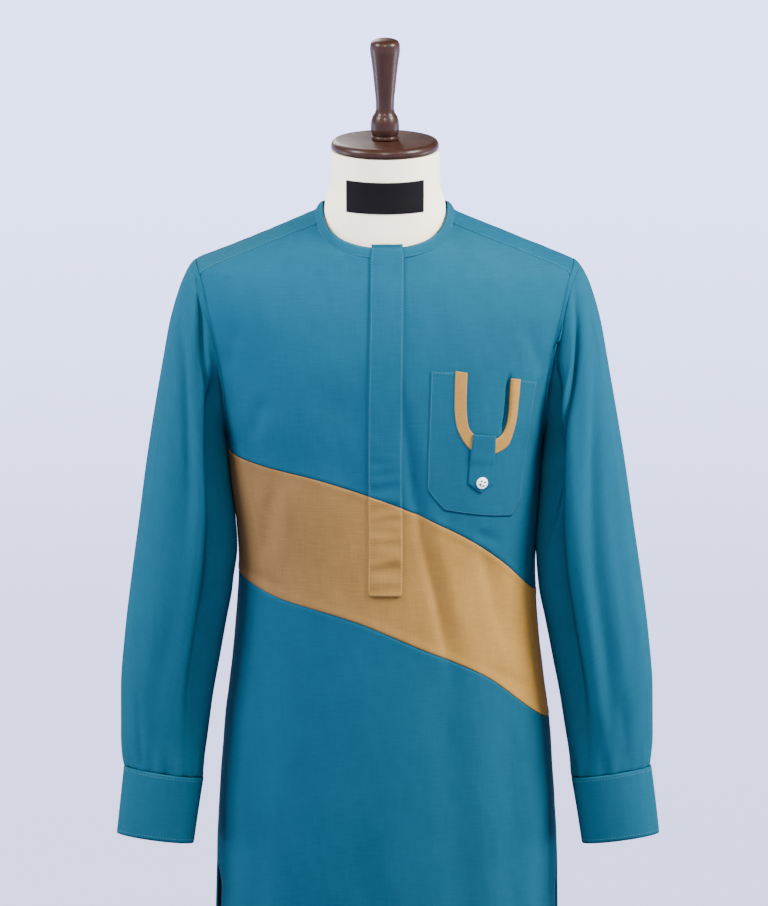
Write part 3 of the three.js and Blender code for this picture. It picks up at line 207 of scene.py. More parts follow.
def runs_along(line: Array) -> Array:
    """The length of a line of points up to each of them."""
    return np.concatenate([[0], np.cumsum(np.linalg.norm(np.diff(line, axis=0), axis=1))])


def solve(rising: Curve, value: Array, low: Array, high: Array) -> Array:
    """Where a rising function reaches a value, by halving.

    Args:
        rising: the function, over arrays.
        value: the values to reach.
        low: a bound below each answer.
        high: a bound above each answer.

    Returns:
        The places, one for each value.
    """
    bottom, top = (np.broadcast_to(edge, np.shape(value)).astype(float) for edge in (low, high))
    for _ in range(34):
        middle = (bottom + top) / 2
        below = rising(middle) < value
        bottom, top = np.where(below, middle, bottom), np.where(below, top, middle)
    return (bottom + top) / 2


def spread(line: Array, count: int) -> Array:
    """Points spaced evenly along a line of points."""
    run = runs_along(line)
    places = np.linspace(0, run[-1], count)
    return np.stack([np.interp(places, run, line[:, i]) for i in range(line.shape[1])], axis=1)


class Profile:
    """A smooth curve through a table, which never overshoots its rows."""

    def __init__(self, places: Array, values: Array) -> None:
        self.places = np.asarray(places, float)
        self.values = np.asarray(values, float)
        rises = np.diff(self.values) / np.diff(self.places)
        product, total = rises[:-1] * rises[1:], rises[:-1] + rises[1:]
        inner = np.where(product > 0, 2 * product / np.where(product > 0, total, 1), 0)
        self.slopes = np.concatenate([rises[:1], inner, rises[-1:]])

    def __call__(self, place: Array) -> Array:
        i = np.clip(np.searchsorted(self.places, place, side="left") - 1, 0, len(self.places) - 2)
        step = self.places[i + 1] - self.places[i]
        f = np.clip((place - self.places[i]) / step, 0, 1)
        g = 1 - f
        ends = self.values[i] * g * g * (1 + 2 * f) + self.values[i + 1] * f * f * (3 - 2 * f)
        return ends + step * f * g * (self.slopes[i] * g - self.slopes[i + 1] * f)


@dataclass(frozen=True)
class Crease:
    """A soft trough (depth below 0) or ridge (above 0) along a path.

    Attributes:
        path: points of the path, in the sheet's own two coordinates.
        width: half width of the crease, in the first coordinate's unit.
        depth: lift of the cloth on the path, in millimetres.
        lean: how much narrower the crease is on its right side than on its left.
        scale: units of the first coordinate in one unit of the second.
    """

    path: tuple[tuple[float, float], ...]
    width: float
    depth: float
    lean: float = 0.0
    scale: float = 1.0

    def lift(self, first: Array, second: Array) -> Array:
        """The lift at places given by their two coordinates."""
        points = np.array(self.path, float) * (1, self.scale)
        place = np.stack([first, second * self.scale], axis=-1)
        starts = runs_along(points)
        best = np.full(first.shape, np.inf)
        away = np.zeros(first.shape)
        run = np.zeros(first.shape)
        last = len(points) - 2
        for i, length in enumerate(np.linalg.norm(np.diff(points, axis=0), axis=1)):
            along = (points[i + 1] - points[i]) / length
            rel = place - points[i]
            raw = rel @ along
            held = np.clip(raw, 0, length)
            if i == 0:
                held = np.minimum(raw, length)
            if i == last:
                held = np.maximum(raw, 0) if i else raw
            off = rel - held[..., None] * along
            distance = np.linalg.norm(off, axis=-1)
            side = np.sign(rel[..., 0] * along[1] - rel[..., 1] * along[0])
            nearer = distance < best
            best = np.where(nearer, distance, best)
            away = np.where(nearer, distance * side, away)
            run = np.where(nearer, starts[i] + held, run)
        share = run / starts[-1]
        fade = smoothstep(share, -0.2, 0.25) * (1 - smoothstep(share, 0.75, 1.2))
        width = self.width * np.where(away > 0, 1 - self.lean, 1 + self.lean)
        return self.depth * fade * bell(away, width)


@dataclass(frozen=True)
class Ripple:
    """A faint unevenness of cloth: waves of random size and direction.

    Attributes:
        amount: typical lift in millimetres.
        wave: shortest and longest wave, in millimetres.
        stretch: how much longer the waves are along the second coordinate.
        seed: fixed seed of the waves.
    """

    amount: float
    wave: tuple[float, float]
    stretch: float
    seed: int

    def lift(self, first: Array, second: Array) -> Array:
        """The lift at places given by their two coordinates, in millimetres."""
        random = np.random.default_rng(self.seed)
        total = np.zeros(np.shape(first))
        waves = 16
        for _ in range(waves):
            length = random.uniform(*self.wave)
            turn, phase = random.uniform(0, 2 * np.pi, 2)
            run = np.cos(turn) * first + np.sin(turn) * second / self.stretch
            total += np.sin(2 * np.pi * run / length + phase)
        return self.amount * total / math.sqrt(waves / 2)


def creases(*rows: tuple, scale: float = 1.0) -> tuple[Crease, ...]:
    """Creases from rows of path, half width, depth and, where it leans, lean."""
    return tuple(Crease(*row, scale=scale) for row in rows)


FRONT_CREASES = creases(
    (((25, 1240), (33, 1165), (44, 1095), (60, 1020), (76, 940)), 9.5, -5.2, 0.2),
    (((50, 1130), (72, 1060), (96, 965)), 15, 3.0),
    (((-136, 1152), (-144, 1110), (-151, 1066)), 8, -2.4, 0.2),
    (((-118, 1160), (-126, 1060)), 10, 1.4),
    (((112, 1080), (126, 1030), (140, 965)), 9, -3.2, 0.2),
    (((-146, 1262), (-160, 1214)), 9, -2.2),
    (((-58, 1275), (-72, 1170)), 30, -2.6),
    (((31, 1405), (29, 1290)), 7, -1.0),
    (((172, 1352), (186, 1296)), 9, -2.2),
    (((141.8, 1227.6), (145.6, 1241.6), (147.6, 1263.6), (149, 1288)), 2.2, -9.5),
    (((-178, 1350), (-188, 1296)), 9, -1.8),
    (((108, 1102), (134, 1086)), 7, -1.6),
    (((-70, 930), (-82, 720), (-92, 470)), 26, -4.0),
    (((70, 935), (84, 760), (100, 470)), 26, -4.4),
    (((0, 880), (2, 680), (4, 470)), 30, 3.2),
    (((-146, 900), (-160, 480)), 15, -2.6),
    (((146, 870), (160, 480)), 15, -3.0),
    (((-30, 760), (-38, 470)), 16, -1.6),
    (((-176, 1046), (-124, 1030)), 6, -1.0),
    (((172, 900), (128, 930)), 7, -1.2),
)
BACK_CREASES = creases(
    (((-60, 1120), (-74, 800), (-84, 480)), 22, -5.0),
    (((66, 1130), (80, 800), (88, 480)), 22, -5.0),
    (((8, 1020), (2, 480)), 30, 4.0),
    (((-150, 1230), (-118, 1090)), 13, -3.5),
    (((150, 1230), (122, 1080)), 13, -3.5),
    (((-24, 1080), (-30, 820)), 14, -2.0),
    (((36, 900), (44, 480)), 15, -2.2),
    (((-150, 960), (-164, 480)), 15, -2.6),
    (((152, 940), (164, 480)), 15, -2.6),
    (((-110, 1330), (-90, 1230)), 16, -1.6),
    (((112, 1320), (88, 1226)), 16, -1.6),
)
SLEEVE_TURN = 520.0
LEFT_CREASES = creases(
    (((177, 0.34), (177, 0.5)), 20, 2.8),
    (((100, 0.05), (100, 0.2), (98, 0.4), (98, 0.62), (102, 0.9)), 13, 6.0),
    (((124, 0.1), (132, 0.24), (134, 0.5), (134, 0.92)), 23, -23.0),
    (((46, 0.06), (80, 0.14), (112, 0.2), (128, 0.32)), 9, -8.0, 0.25),
    (((66, 0.1), (92, 0.24), (106, 0.42)), 13, -4.5),
    (((36, 0.22), (62, 0.31), (84, 0.46), (92, 0.62), (98, 0.84)), 12, -6.0, 0.2),
    (((14, 0.2), (42, 0.4), (58, 0.62)), 17, 2.6),
    (((84, 0.7), (76, 0.86), (80, 0.97)), 10, -2.2),
    (((52, 0.84), (58, 0.99)), 8, -1.8),
    (((100, 0.88), (104, 1.0)), 7, -1.6),
    (((260, 0.14), (236, 0.5)), 16, -6.0),
    (((300, 0.4), (280, 0.85)), 18, -4.0),
    (((225, 0.3), (214, 0.62)), 12, -3.0),
    scale=SLEEVE_TURN,
)
RIGHT_CREASES = creases(
    (((102, 0.05), (102, 0.2), (100, 0.4), (99, 0.62), (103, 0.9)), 13, 6.0),
    (((126, 0.1), (133, 0.24), (136, 0.5), (135, 0.92)), 23, -22.0),
    (((50, 0.12), (76, 0.23), (114, 0.32), (134, 0.48), (140, 0.64)), 9.5, -9.0, 0.25),
    (((68, 0.05), (104, 0.1), (124, 0.18), (150, 0.3)), 8, -7.0, 0.2),
    (((90, 0.22), (126, 0.34), (150, 0.48)), 8, 5.0),
    (((30, 0.26), (66, 0.46), (84, 0.62), (88, 0.88)), 13, -6.0, 0.2),
    (((112, 0.5), (116, 0.7), (108, 0.86)), 10, 2.4),
    (((46, 0.52), (52, 0.8)), 12, -2.4),
    (((72, 0.84), (66, 0.99)), 8, -2.0),
    (((104, 0.86), (100, 1.0)), 7, -1.8),
    (((258, 0.15), (232, 0.5)), 16, -6.0),
    (((296, 0.42), (276, 0.86)), 18, -4.0),
    (((222, 0.34), (210, 0.66)), 12, -3.0),
    scale=SLEEVE_TURN,
)
INNER_CREASES = creases(
    (((176, 0.02), (178, 0.2), (178, 0.44), (176, 0.56)), 22, 3.1),
    (((178, 0.08), (178, 0.32)), 20, 1.9),
    scale=SLEEVE_TURN,
)


class Edge(Enum):
    """The edges of a sheet of points."""

    BOTTOM = "bottom"
    TOP = "top"
    LEFT = "left"
    RIGHT = "right"


@dataclass
class Seam:
    """A line on a sheet that thread follows, with the way out of the cloth along it."""

    points: Array
    outward: Array

    def part(self, low: float, high: float) -> "Seam":
        """The stretch of the line between two shares of its points."""
        count = len(self.points) - 1
        cut = slice(int(round(low * count)), int(round(high * count)) + 1)
        return Seam(self.points[cut], self.outward[cut])


@dataclass
class Sheet:
    """Cloth as a grid of points in its middle. Seen from outside, columns run right and rows up.

    Attributes:
        points: rows by columns by three, in millimetres.
        cloth: the same grid's places in the flat cloth, in millimetres.
        thickness: the cloth's thickness.
        closed: whether the last column joins the first.
    """

    points: Array
    cloth: Array
    thickness: float = 0.8
    closed: bool = False

    def normals(self) -> Array:
        """The way out of the sheet at each point."""
        p = self.points
        up = np.empty_like(p)
        up[1:-1], up[0], up[-1] = p[2:] - p[:-2], p[1] - p[0], p[-1] - p[-2]
        across = np.empty_like(p)
        if self.closed:
            across[:] = np.roll(p, -1, axis=1) - np.roll(p, 1, axis=1)
        else:
            across[:, 1:-1] = p[:, 2:] - p[:, :-2]
            across[:, 0], across[:, -1] = p[:, 1] - p[:, 0], p[:, -1] - p[:, -2]
        return unit(np.cross(across, up))

    def moved(self, lift: Array | float) -> "Sheet":
        """The sheet moved outwards along its normals."""
        amount = np.broadcast_to(lift, self.points.shape[:2])
        return replace(self, points=self.points + self.normals() * amount[..., None])

    def tucked(self, edge: Edge, depth: float) -> "Sheet":
        """The sheet with its last half millimetre at one edge turned down by a depth."""
        axis = 0 if edge in (Edge.BOTTOM, Edge.TOP) else 1
        order = slice(None, None, -1) if edge in (Edge.TOP, Edge.RIGHT) else slice(None)
        points, cloth = (np.moveaxis(grid, axis, 0)[order] for grid in (self.points, self.cloth))
        reach = np.linalg.norm(points[1] - points[0], axis=-1)[:, None]
        shares = [np.minimum(margin / reach, limit) for margin, limit in TUCK_ROWS]
        grids = []
        for grid in (points, cloth):
            rows = [grid[0], *(lerp(grid[0], grid[1], share) for share in shares)]
            grids.append(np.moveaxis(np.concatenate([np.stack(rows), grid[1:]])[order], 0, axis))
        finer = replace(self, points=grids[0], cloth=grids[1])
        return finer.moved(-depth * bell(finer.edge_runs(edge), TUCK_WIDTH))

    def edge_runs(self, edge: Edge) -> Array:
        """The distance of every point from an edge, measured along its row or column."""
        p = self.points
        axis = 0 if edge in (Edge.BOTTOM, Edge.TOP) else 1
        steps = np.linalg.norm(np.diff(p, axis=axis), axis=-1)
        pad = ((1, 0), (0, 0)) if axis == 0 else ((0, 0), (1, 0))
        run = np.pad(np.cumsum(steps, axis=axis), pad)
        if edge in (Edge.BOTTOM, Edge.LEFT):
            return run
        return np.take(run, [-1], axis=axis) - run

    def nearer_edge(self, one: Edge, other: Edge) -> Array:
        """The distance of every point from the nearer of two edges."""
        return np.minimum(self.edge_runs(one), self.edge_runs(other))

    def seam(self, edge: Edge, inset: float) -> Seam:
        """The line that runs beside an edge, at a distance in from it."""
        runs = self.edge_runs(edge)
        surface = self.points + self.normals() * self.thickness / 2
        outward = self.normals()
        if edge in (Edge.LEFT, Edge.RIGHT):
            runs, surface, outward = runs.T, surface.transpose(1, 0, 2), outward.transpose(1, 0, 2)
        if edge in (Edge.TOP, Edge.RIGHT):
            runs, surface, outward = runs[::-1], surface[::-1], outward[::-1]
        after = np.clip((runs < inset).sum(axis=0), 1, len(runs) - 1)
        line = np.arange(runs.shape[1])
        low, high = runs[after - 1, line], runs[after, line]
        share = np.clip((inset - low) / np.maximum(high - low, 1e-9), 0, 1)[:, None]
        points = lerp(surface[after - 1, line], surface[after, line], share)
        return Seam(points, unit(lerp(outward[after - 1, line], outward[after, line], share)))

    def area(self) -> float:
        """The sheet's area in square metres."""
        p = np.concatenate([self.points, self.points[:, :1]], axis=1) if self.closed else self.points
        across, up = p[:-1, 1:] - p[:-1, :-1], p[1:, :-1] - p[:-1, :-1]
        return float(np.linalg.norm(np.cross(across, up), axis=-1).sum()) * MM * MM

    def declare(self, made: bpy.types.Object, held: str, rests_on: tuple[str, ...]) -> None:
        """States the cut of the cloth: the rectangle it comes out of, and its area."""
        area = self.area()
        width, length = (float(span) * MM for span in np.ptp(self.cloth.reshape(-1, 2), axis=0))
        grow = math.sqrt(max(1.0, 1.02 * area / (width * length)))
        flat = (width * grow, length * grow)
        list(rests_on)
        LOG.info("%s: cut %.3f by %.3f m, %.4f square metres", made.name, *flat, area)

    def build(self, name: str, material: bpy.types.Material) -> bpy.types.Object:
        """Makes the cloth as a closed shell round the sheet."""
        rows, columns = self.points.shape[:2]
        offset = self.normals() * self.thickness / 2
        layers = (self.points - offset, self.points + offset)
        vertices = np.concatenate([layer.reshape(-1, 3) for layer in layers])
        index = np.arange(rows * columns).reshape(rows, columns)
        if self.closed:
            index = np.concatenate([index, index[:, :1]], axis=1)
        outer = index + rows * columns

        def quads(a: Array, b: Array, c: Array, d: Array) -> Array:
            return np.stack([a, b, c, d], axis=-1).reshape(-1, 4)

        faces = [
            quads(outer[:-1, :-1], outer[:-1, 1:], outer[1:, 1:], outer[1:, :-1]),
            quads(index[:-1, :-1], index[1:, :-1], index[1:, 1:], index[:-1, 1:]),
            quads(index[0, :-1], index[0, 1:], outer[0, 1:], outer[0, :-1]),
            quads(index[-1, :-1], outer[-1, :-1], outer[-1, 1:], index[-1, 1:]),
        ]
        if not self.closed:
            faces.append(quads(index[:-1, 0], outer[:-1, 0], outer[1:, 0], index[1:, 0]))
            faces.append(quads(index[:-1, -1], index[1:, -1], outer[1:, -1], outer[:-1, -1]))
        rims = sum(len(f) for f in faces[2:])
        places = np.concatenate([self.cloth.reshape(-1, 2)] * 2)
        return make_mesh(name, vertices, np.concatenate(faces), material, places, flat_faces=rims)


def new_object(name: str, data: bpy.types.ID) -> bpy.types.Object:
    """Makes an object and puts it in the scene."""
    made = bpy.data.objects.new(name, data)
    bpy.context.scene.collection.objects.link(made)
    return made


def make_mesh(
    name: str,
    vertices: Array,
    faces: Array,
    material: bpy.types.Material,
    places: Array | None = None,
    flat_faces: int = 0,
) -> bpy.types.Object:
    """Makes one object from vertices in millimetres.

    Args:
        name: the object's name.
        vertices: points, in millimetres.
        faces: corner indices, all with the same number of corners.
        material: its finish.
        places: each vertex's place in the flat cloth, in millimetres.
        flat_faces: how many of the last faces are shaded flat.

    Returns:
        The linked object.
    """
    mesh = bpy.data.meshes.new(name)
    corners = faces.shape[1]
    mesh.vertices.add(len(vertices))
    mesh.vertices.foreach_set("co", (np.asarray(vertices, float) * MM).astype(np.float32).ravel())
    mesh.loops.add(faces.size)
    mesh.loops.foreach_set("vertex_index", faces.astype(np.int32).ravel())
    mesh.polygons.add(len(faces))
    mesh.polygons.foreach_set("loop_start", np.arange(0, faces.size, corners, dtype=np.int32))
    smooth = np.ones(len(faces), bool)
    if flat_faces:
        smooth[-flat_faces:] = False
    mesh.polygons.foreach_set("use_smooth", smooth)
    mesh.update(calc_edges=True)
    if places is not None:
        layer = mesh.uv_layers.new(name="cloth")
        layer.data.foreach_set("uv", (places[faces.ravel()] * MM).astype(np.float32).ravel())
    mesh.validate()
    mesh.materials.append(material)
    return new_object(name, mesh)


class Value:
    """A shader value with the usual operators, each of which adds a maths node."""

    def __init__(self, graph: "Graph", socket: bpy.types.NodeSocket) -> None:
        self.graph = graph
        self.socket = socket

    def _maths(self, operation: str, *values: "Value | float") -> "Value":
        inputs = dict(enumerate(values))
        return self.graph.add("ShaderNodeMath", {"operation": operation}, inputs)

    def __add__(self, other: "Value | float") -> "Value":
        return self._maths("ADD", self, other)

    __radd__ = __add__

    def __sub__(self, other: "Value | float") -> "Value":
        return self._maths("SUBTRACT", self, other)

    def __mul__(self, other: "Value | float") -> "Value":
        return self._maths("MULTIPLY", self, other)

    __rmul__ = __mul__

    def __pow__(self, other: float) -> "Value":
        return self._maths("POWER", self, other)

    def sine(self) -> "Value":
        """The sine of the value."""
        return self._maths("SINE", self)

    def size(self) -> "Value":
        """The value without its sign."""
        return self._maths("ABSOLUTE", self)


class Graph:
    """The node tree of one material, built call by call."""

    def __init__(self, name: str) -> None:
        self.material = bpy.data.materials.new(name)
        self.material.use_nodes = True
        self.tree = self.material.node_tree
        self.tree.nodes.clear()

    def add(
        self,
        kind: str,
        settings: dict | None = None,
        inputs: dict | None = None,
        output: int | str = 0,
    ) -> Value:
        """Adds a node.

        Args:
            kind: the node's type.
            settings: its properties by name.
            inputs: values or plain numbers by socket name or number.
            output: the socket that the result reads.

        Returns:
            The node's output as a value.
        """
        node = self.tree.nodes.new(kind)
        for key, value in (settings or {}).items():
            setattr(node, key, value)
        for key, value in (inputs or {}).items():
            if isinstance(value, Value):
                self.tree.links.new(value.socket, node.inputs[key])
            else:
                node.inputs[key].default_value = value
        return Value(self, node.outputs[output])

    def noise(self, place: Value, scale: float, detail: float = 2.0, roughness: float = 0.5) -> Value:
        """Smooth noise about a half."""
        inputs = {"Vector": place, "Scale": scale, "Detail": detail, "Roughness": roughness}
        return self.add("ShaderNodeTexNoise", None, inputs, "Fac")

    def place(self) -> Value:
        """The place on the piece, in the object's own coordinates."""
        return self.add("ShaderNodeTexCoord", None, None, "Object")

    def rise(self, value: Value, low: float, high: float, least: float = 0.0) -> Value:
        """A smooth rise to 1 between two values."""
        inputs = {"Value": value, "From Min": low, "From Max": high, "To Min": least}
        return self.add("ShaderNodeMapRange", {"interpolation_type": "SMOOTHSTEP"}, inputs)

    def bump(self, height: Value, strength: float, distance: float) -> Value:
        """The normal of a surface raised by a height."""
        inputs = {"Height": height, "Strength": strength, "Distance": distance}
        return self.add("ShaderNodeBump", None, inputs, "Normal")

    def vector(self, x: Value | float, y: Value | float, z: Value | float = 0.0) -> Value:
        """A vector from its parts."""
        return self.add("ShaderNodeCombineXYZ", None, {0: x, 1: y, 2: z})

    def parts(self, place: Value) -> tuple[Value, Value, Value]:
        """The parts of a vector."""
        node = self.add("ShaderNodeSeparateXYZ", None, {0: place}).socket.node
        return tuple(Value(self, socket) for socket in node.outputs)

    def tint(self, colour: tuple[float, float, float], shade: Value) -> Value:
        """A colour made lighter or darker by a value about one."""
        grey = self.vector(shade, shade, shade)
        settings = {"operation": "MULTIPLY"}
        return self.add("ShaderNodeVectorMath", settings, {0: grey, 1: colour})

    def surface(self, **inputs: Value | float | tuple) -> None:
        """Ends the material with a surface of the given sockets, their spaces written as underscores."""
        named = {key.replace("_", " "): value for key, value in inputs.items()}
        shader = self.add("ShaderNodeBsdfPrincipled", None, named)
        node = self.tree.nodes.new("ShaderNodeOutputMaterial")
        self.tree.links.new(shader.socket, node.inputs["Surface"])


@dataclass(frozen=True)
class WovenCloth:
    """Plain-woven cotton cloth with faint slubs, whose colour is painted lighter towards one side as painted
    sheen and side light.
    """

    name: str
    colour: tuple[float, float, float]
    # the colour of the cloth's lighter side: painted sheen and side light
    sheen_lit_colour: tuple[float, float, float]
    slub: float = 0.17
    # strength of broad streaks that are partly random tone and partly painted sheen and painted shade of soft
    # wrinkles
    mottle_and_sheen: float = 0.1
    pitch: float = 0.62
    gloss: float = 0.01
    roughness: float = 0.75

    def material(self) -> bpy.types.Material:
        """Builds the material, which reads places in the flat cloth."""
        graph = Graph(self.name)
        place = graph.add("ShaderNodeUVMap", {"uv_map": "cloth"})
        u, v, _ = graph.parts(place)
        turn = 2 * math.pi / (self.pitch * MM)
        weave = (u * turn).sine() * (v * turn).sine()
        weft = graph.noise(graph.vector(u * 42, v * 620), 1.0, 3, 0.62)
        warp = graph.noise(graph.vector(u * 620, v * 30), 1.0, 3, 0.62)
        # broad vertical light and dark streaks: partly random tone, partly painted sheen and painted shade of
        # soft wrinkles
        mottle_and_sheen = graph.noise(graph.vector(u * 26 + v * 5, v * 8), 1.0, 3, 0.6)
        # painted light: the colour moves from the first colour to the lighter sheen-lit colour across the cloth,
        # as painted sheen and side light
        painted_sheen_drift = graph.rise(u, -0.22, 0.22)
        base = [first + painted_sheen_drift * (last - first) for first, last in zip(self.colour, self.sheen_lit_colour)]
        grain = (weft - 0.5) * 1.1 + (warp - 0.5) * 0.8
        shade = 1 + grain * self.slub * 2 + (mottle_and_sheen - 0.5) * self.mottle_and_sheen * 2 + weave * 0.02
        height = weave * 0.35 + grain * 0.9
        graph.surface(
            Base_Color=graph.vector(*(part * shade for part in base)),
            Roughness=self.roughness,
            Specular_IOR_Level=self.gloss,
            Normal=graph.bump(height, 0.35, 0.0003),
        )
        return graph.material


@dataclass(frozen=True)
class Jersey:
    """The smooth knitted cover of the dress form."""

    name: str
    colour: tuple[float, float, float]

    def material(self) -> bpy.types.Material:
        """Builds the material, which reads the object's own coordinates."""
        graph = Graph(self.name)
        place = graph.place()
        fine = graph.noise(place, 900.0, 2)
        soft = graph.noise(place, 18.0, 2)
        shade = 1 + (soft - 0.5) * 0.05 + (fine - 0.5) * 0.04
        graph.surface(
            Base_Color=graph.tint(self.colour, shade),
            Roughness=0.9,
            Specular_IOR_Level=0.1,
            Normal=graph.bump(fine, 0.25, 0.0004),
        )
        return graph.material


@dataclass(frozen=True)
class LacqueredWood:
    """Dark stained wood under a satin lacquer, with its grain along the object's own z axis."""

    name: str
    colour: tuple[float, float, float]

    def material(self) -> bpy.types.Material:
        """Builds the material, which reads the object's own coordinates."""
        graph = Graph(self.name)
        x, y, z = graph.parts(graph.place())
        bend = graph.noise(graph.vector(x * 9, y * 9, z * 4), 1.0, 2)
        grain = graph.noise(graph.vector(x * 130 + bend * 2, y * 130, z * 9), 1.0, 4, 0.6)
        pores = graph.noise(graph.vector(x * 900, y * 900, z * 40), 1.0, 2)
        shade = 0.72 + (grain ** 1.6) * 1.25 - (pores - 0.5).size() * 0.3
        graph.surface(
            Base_Color=graph.tint(self.colour, shade),
            Roughness=0.46 + (grain - 0.5) * 0.16,
            Specular_IOR_Level=0.1,
            Coat_Weight=0.13,
            Coat_Roughness=0.2,
            Normal=graph.bump(grain * 0.5 + pores * 0.5, 0.08, 0.0004),
        )
        return graph.material


@dataclass(frozen=True)
class Plain:
    """A plain finish: metal, thread or woven label."""

    name: str
    colour: tuple[float, float, float]
    roughness: float
    metallic: float = 0.0
    gloss: float = 0.5

    def material(self) -> bpy.types.Material:
        """Builds the material."""
        graph = Graph(self.name)
        graph.surface(
            Base_Color=(*self.colour, 1.0),
            Roughness=self.roughness,
            Metallic=self.metallic,
            Specular_IOR_Level=self.gloss,
        )
        return graph.material


@dataclass(frozen=True)
class StudioPaper:
    """The pale floor, whose glow is painted light, dimmed to a painted shade under and round the object."""

    name: str
    nearby: tuple[float, float, float]
    distant: tuple[float, float, float]

    def material(self) -> bpy.types.Material:
        """Builds the material, which reads the object's own coordinates in metres."""
        graph = Graph(self.name)
        x, y, _ = graph.parts(graph.place())
        reach = (x * x + y * y) ** 0.5
        # painted light: the floor glows; nearer than 1.3 to 2.6 metres its glow falls to a twentieth as painted
        # shade round the object, and it grows brighter out to 8.2 metres
        near, far = graph.rise(reach, 1.3, 2.6, 0.05), graph.rise(reach, 2.4, 8.2)
        pairs = zip(self.nearby, self.distant)
        parts = (near * (first + far * (last - first)) for first, last in pairs)
        graph.surface(
            Base_Color=(0.1, 0.1, 0.11, 1.0),
            Roughness=1.0,
            Specular_IOR_Level=0.0,
            Emission_Color=graph.vector(*parts),
            Emission_Strength=1.0,
        )
        return graph.material


@dataclass
class Finishes:
    """The materials of the whole scene, made once."""

    teal: bpy.types.Material
    tan: bpy.types.Material
    jersey: bpy.types.Material
    walnut: bpy.types.Material
    label: bpy.types.Material
    steel: bpy.types.Material
    silver: bpy.types.Material
    thread: bpy.types.Material
    tan_thread: bpy.types.Material
    paper: bpy.types.Material

    @classmethod
    def make(cls) -> "Finishes":
        """Builds every material."""
        kinds = {
            # the second colour of each cloth is its painted lighter side, painted sheen and side light; the
            # tan's is nearly twice as light
            "teal": WovenCloth("teal_cloth", (0.006, 0.053, 0.091), (0.007, 0.056, 0.089)),
            "tan": WovenCloth("tan_cloth", (0.135, 0.077, 0.031), (0.272, 0.145, 0.032), 0.2, 0.2),
            "jersey": Jersey("form_cover", (0.80, 0.72, 0.54)),
            "walnut": LacqueredWood("walnut", (0.018, 0.0066, 0.004)),
            "label": Plain("label_black", (0.004, 0.0036, 0.0045), 0.8, gloss=0.05),
            "steel": Plain("steel", (0.62, 0.63, 0.64), 0.28, 1.0),
            "silver": Plain("snap_silver", (0.9, 0.9, 0.92), 0.4, 0.2),
            "thread": Plain("teal_thread", (0.06, 0.15, 0.19), 0.7, gloss=0.1),
            "tan_thread": Plain("tan_thread", (0.34, 0.22, 0.1), 0.7, gloss=0.1),
            # glow colours of the floor, painted light: near the object, then far away
            "paper": StudioPaper("paper", (1.38, 1.41, 2.27), (2.42, 2.72, 4.7)),
        }
        return cls(**{key: kind.material() for key, kind in kinds.items()})


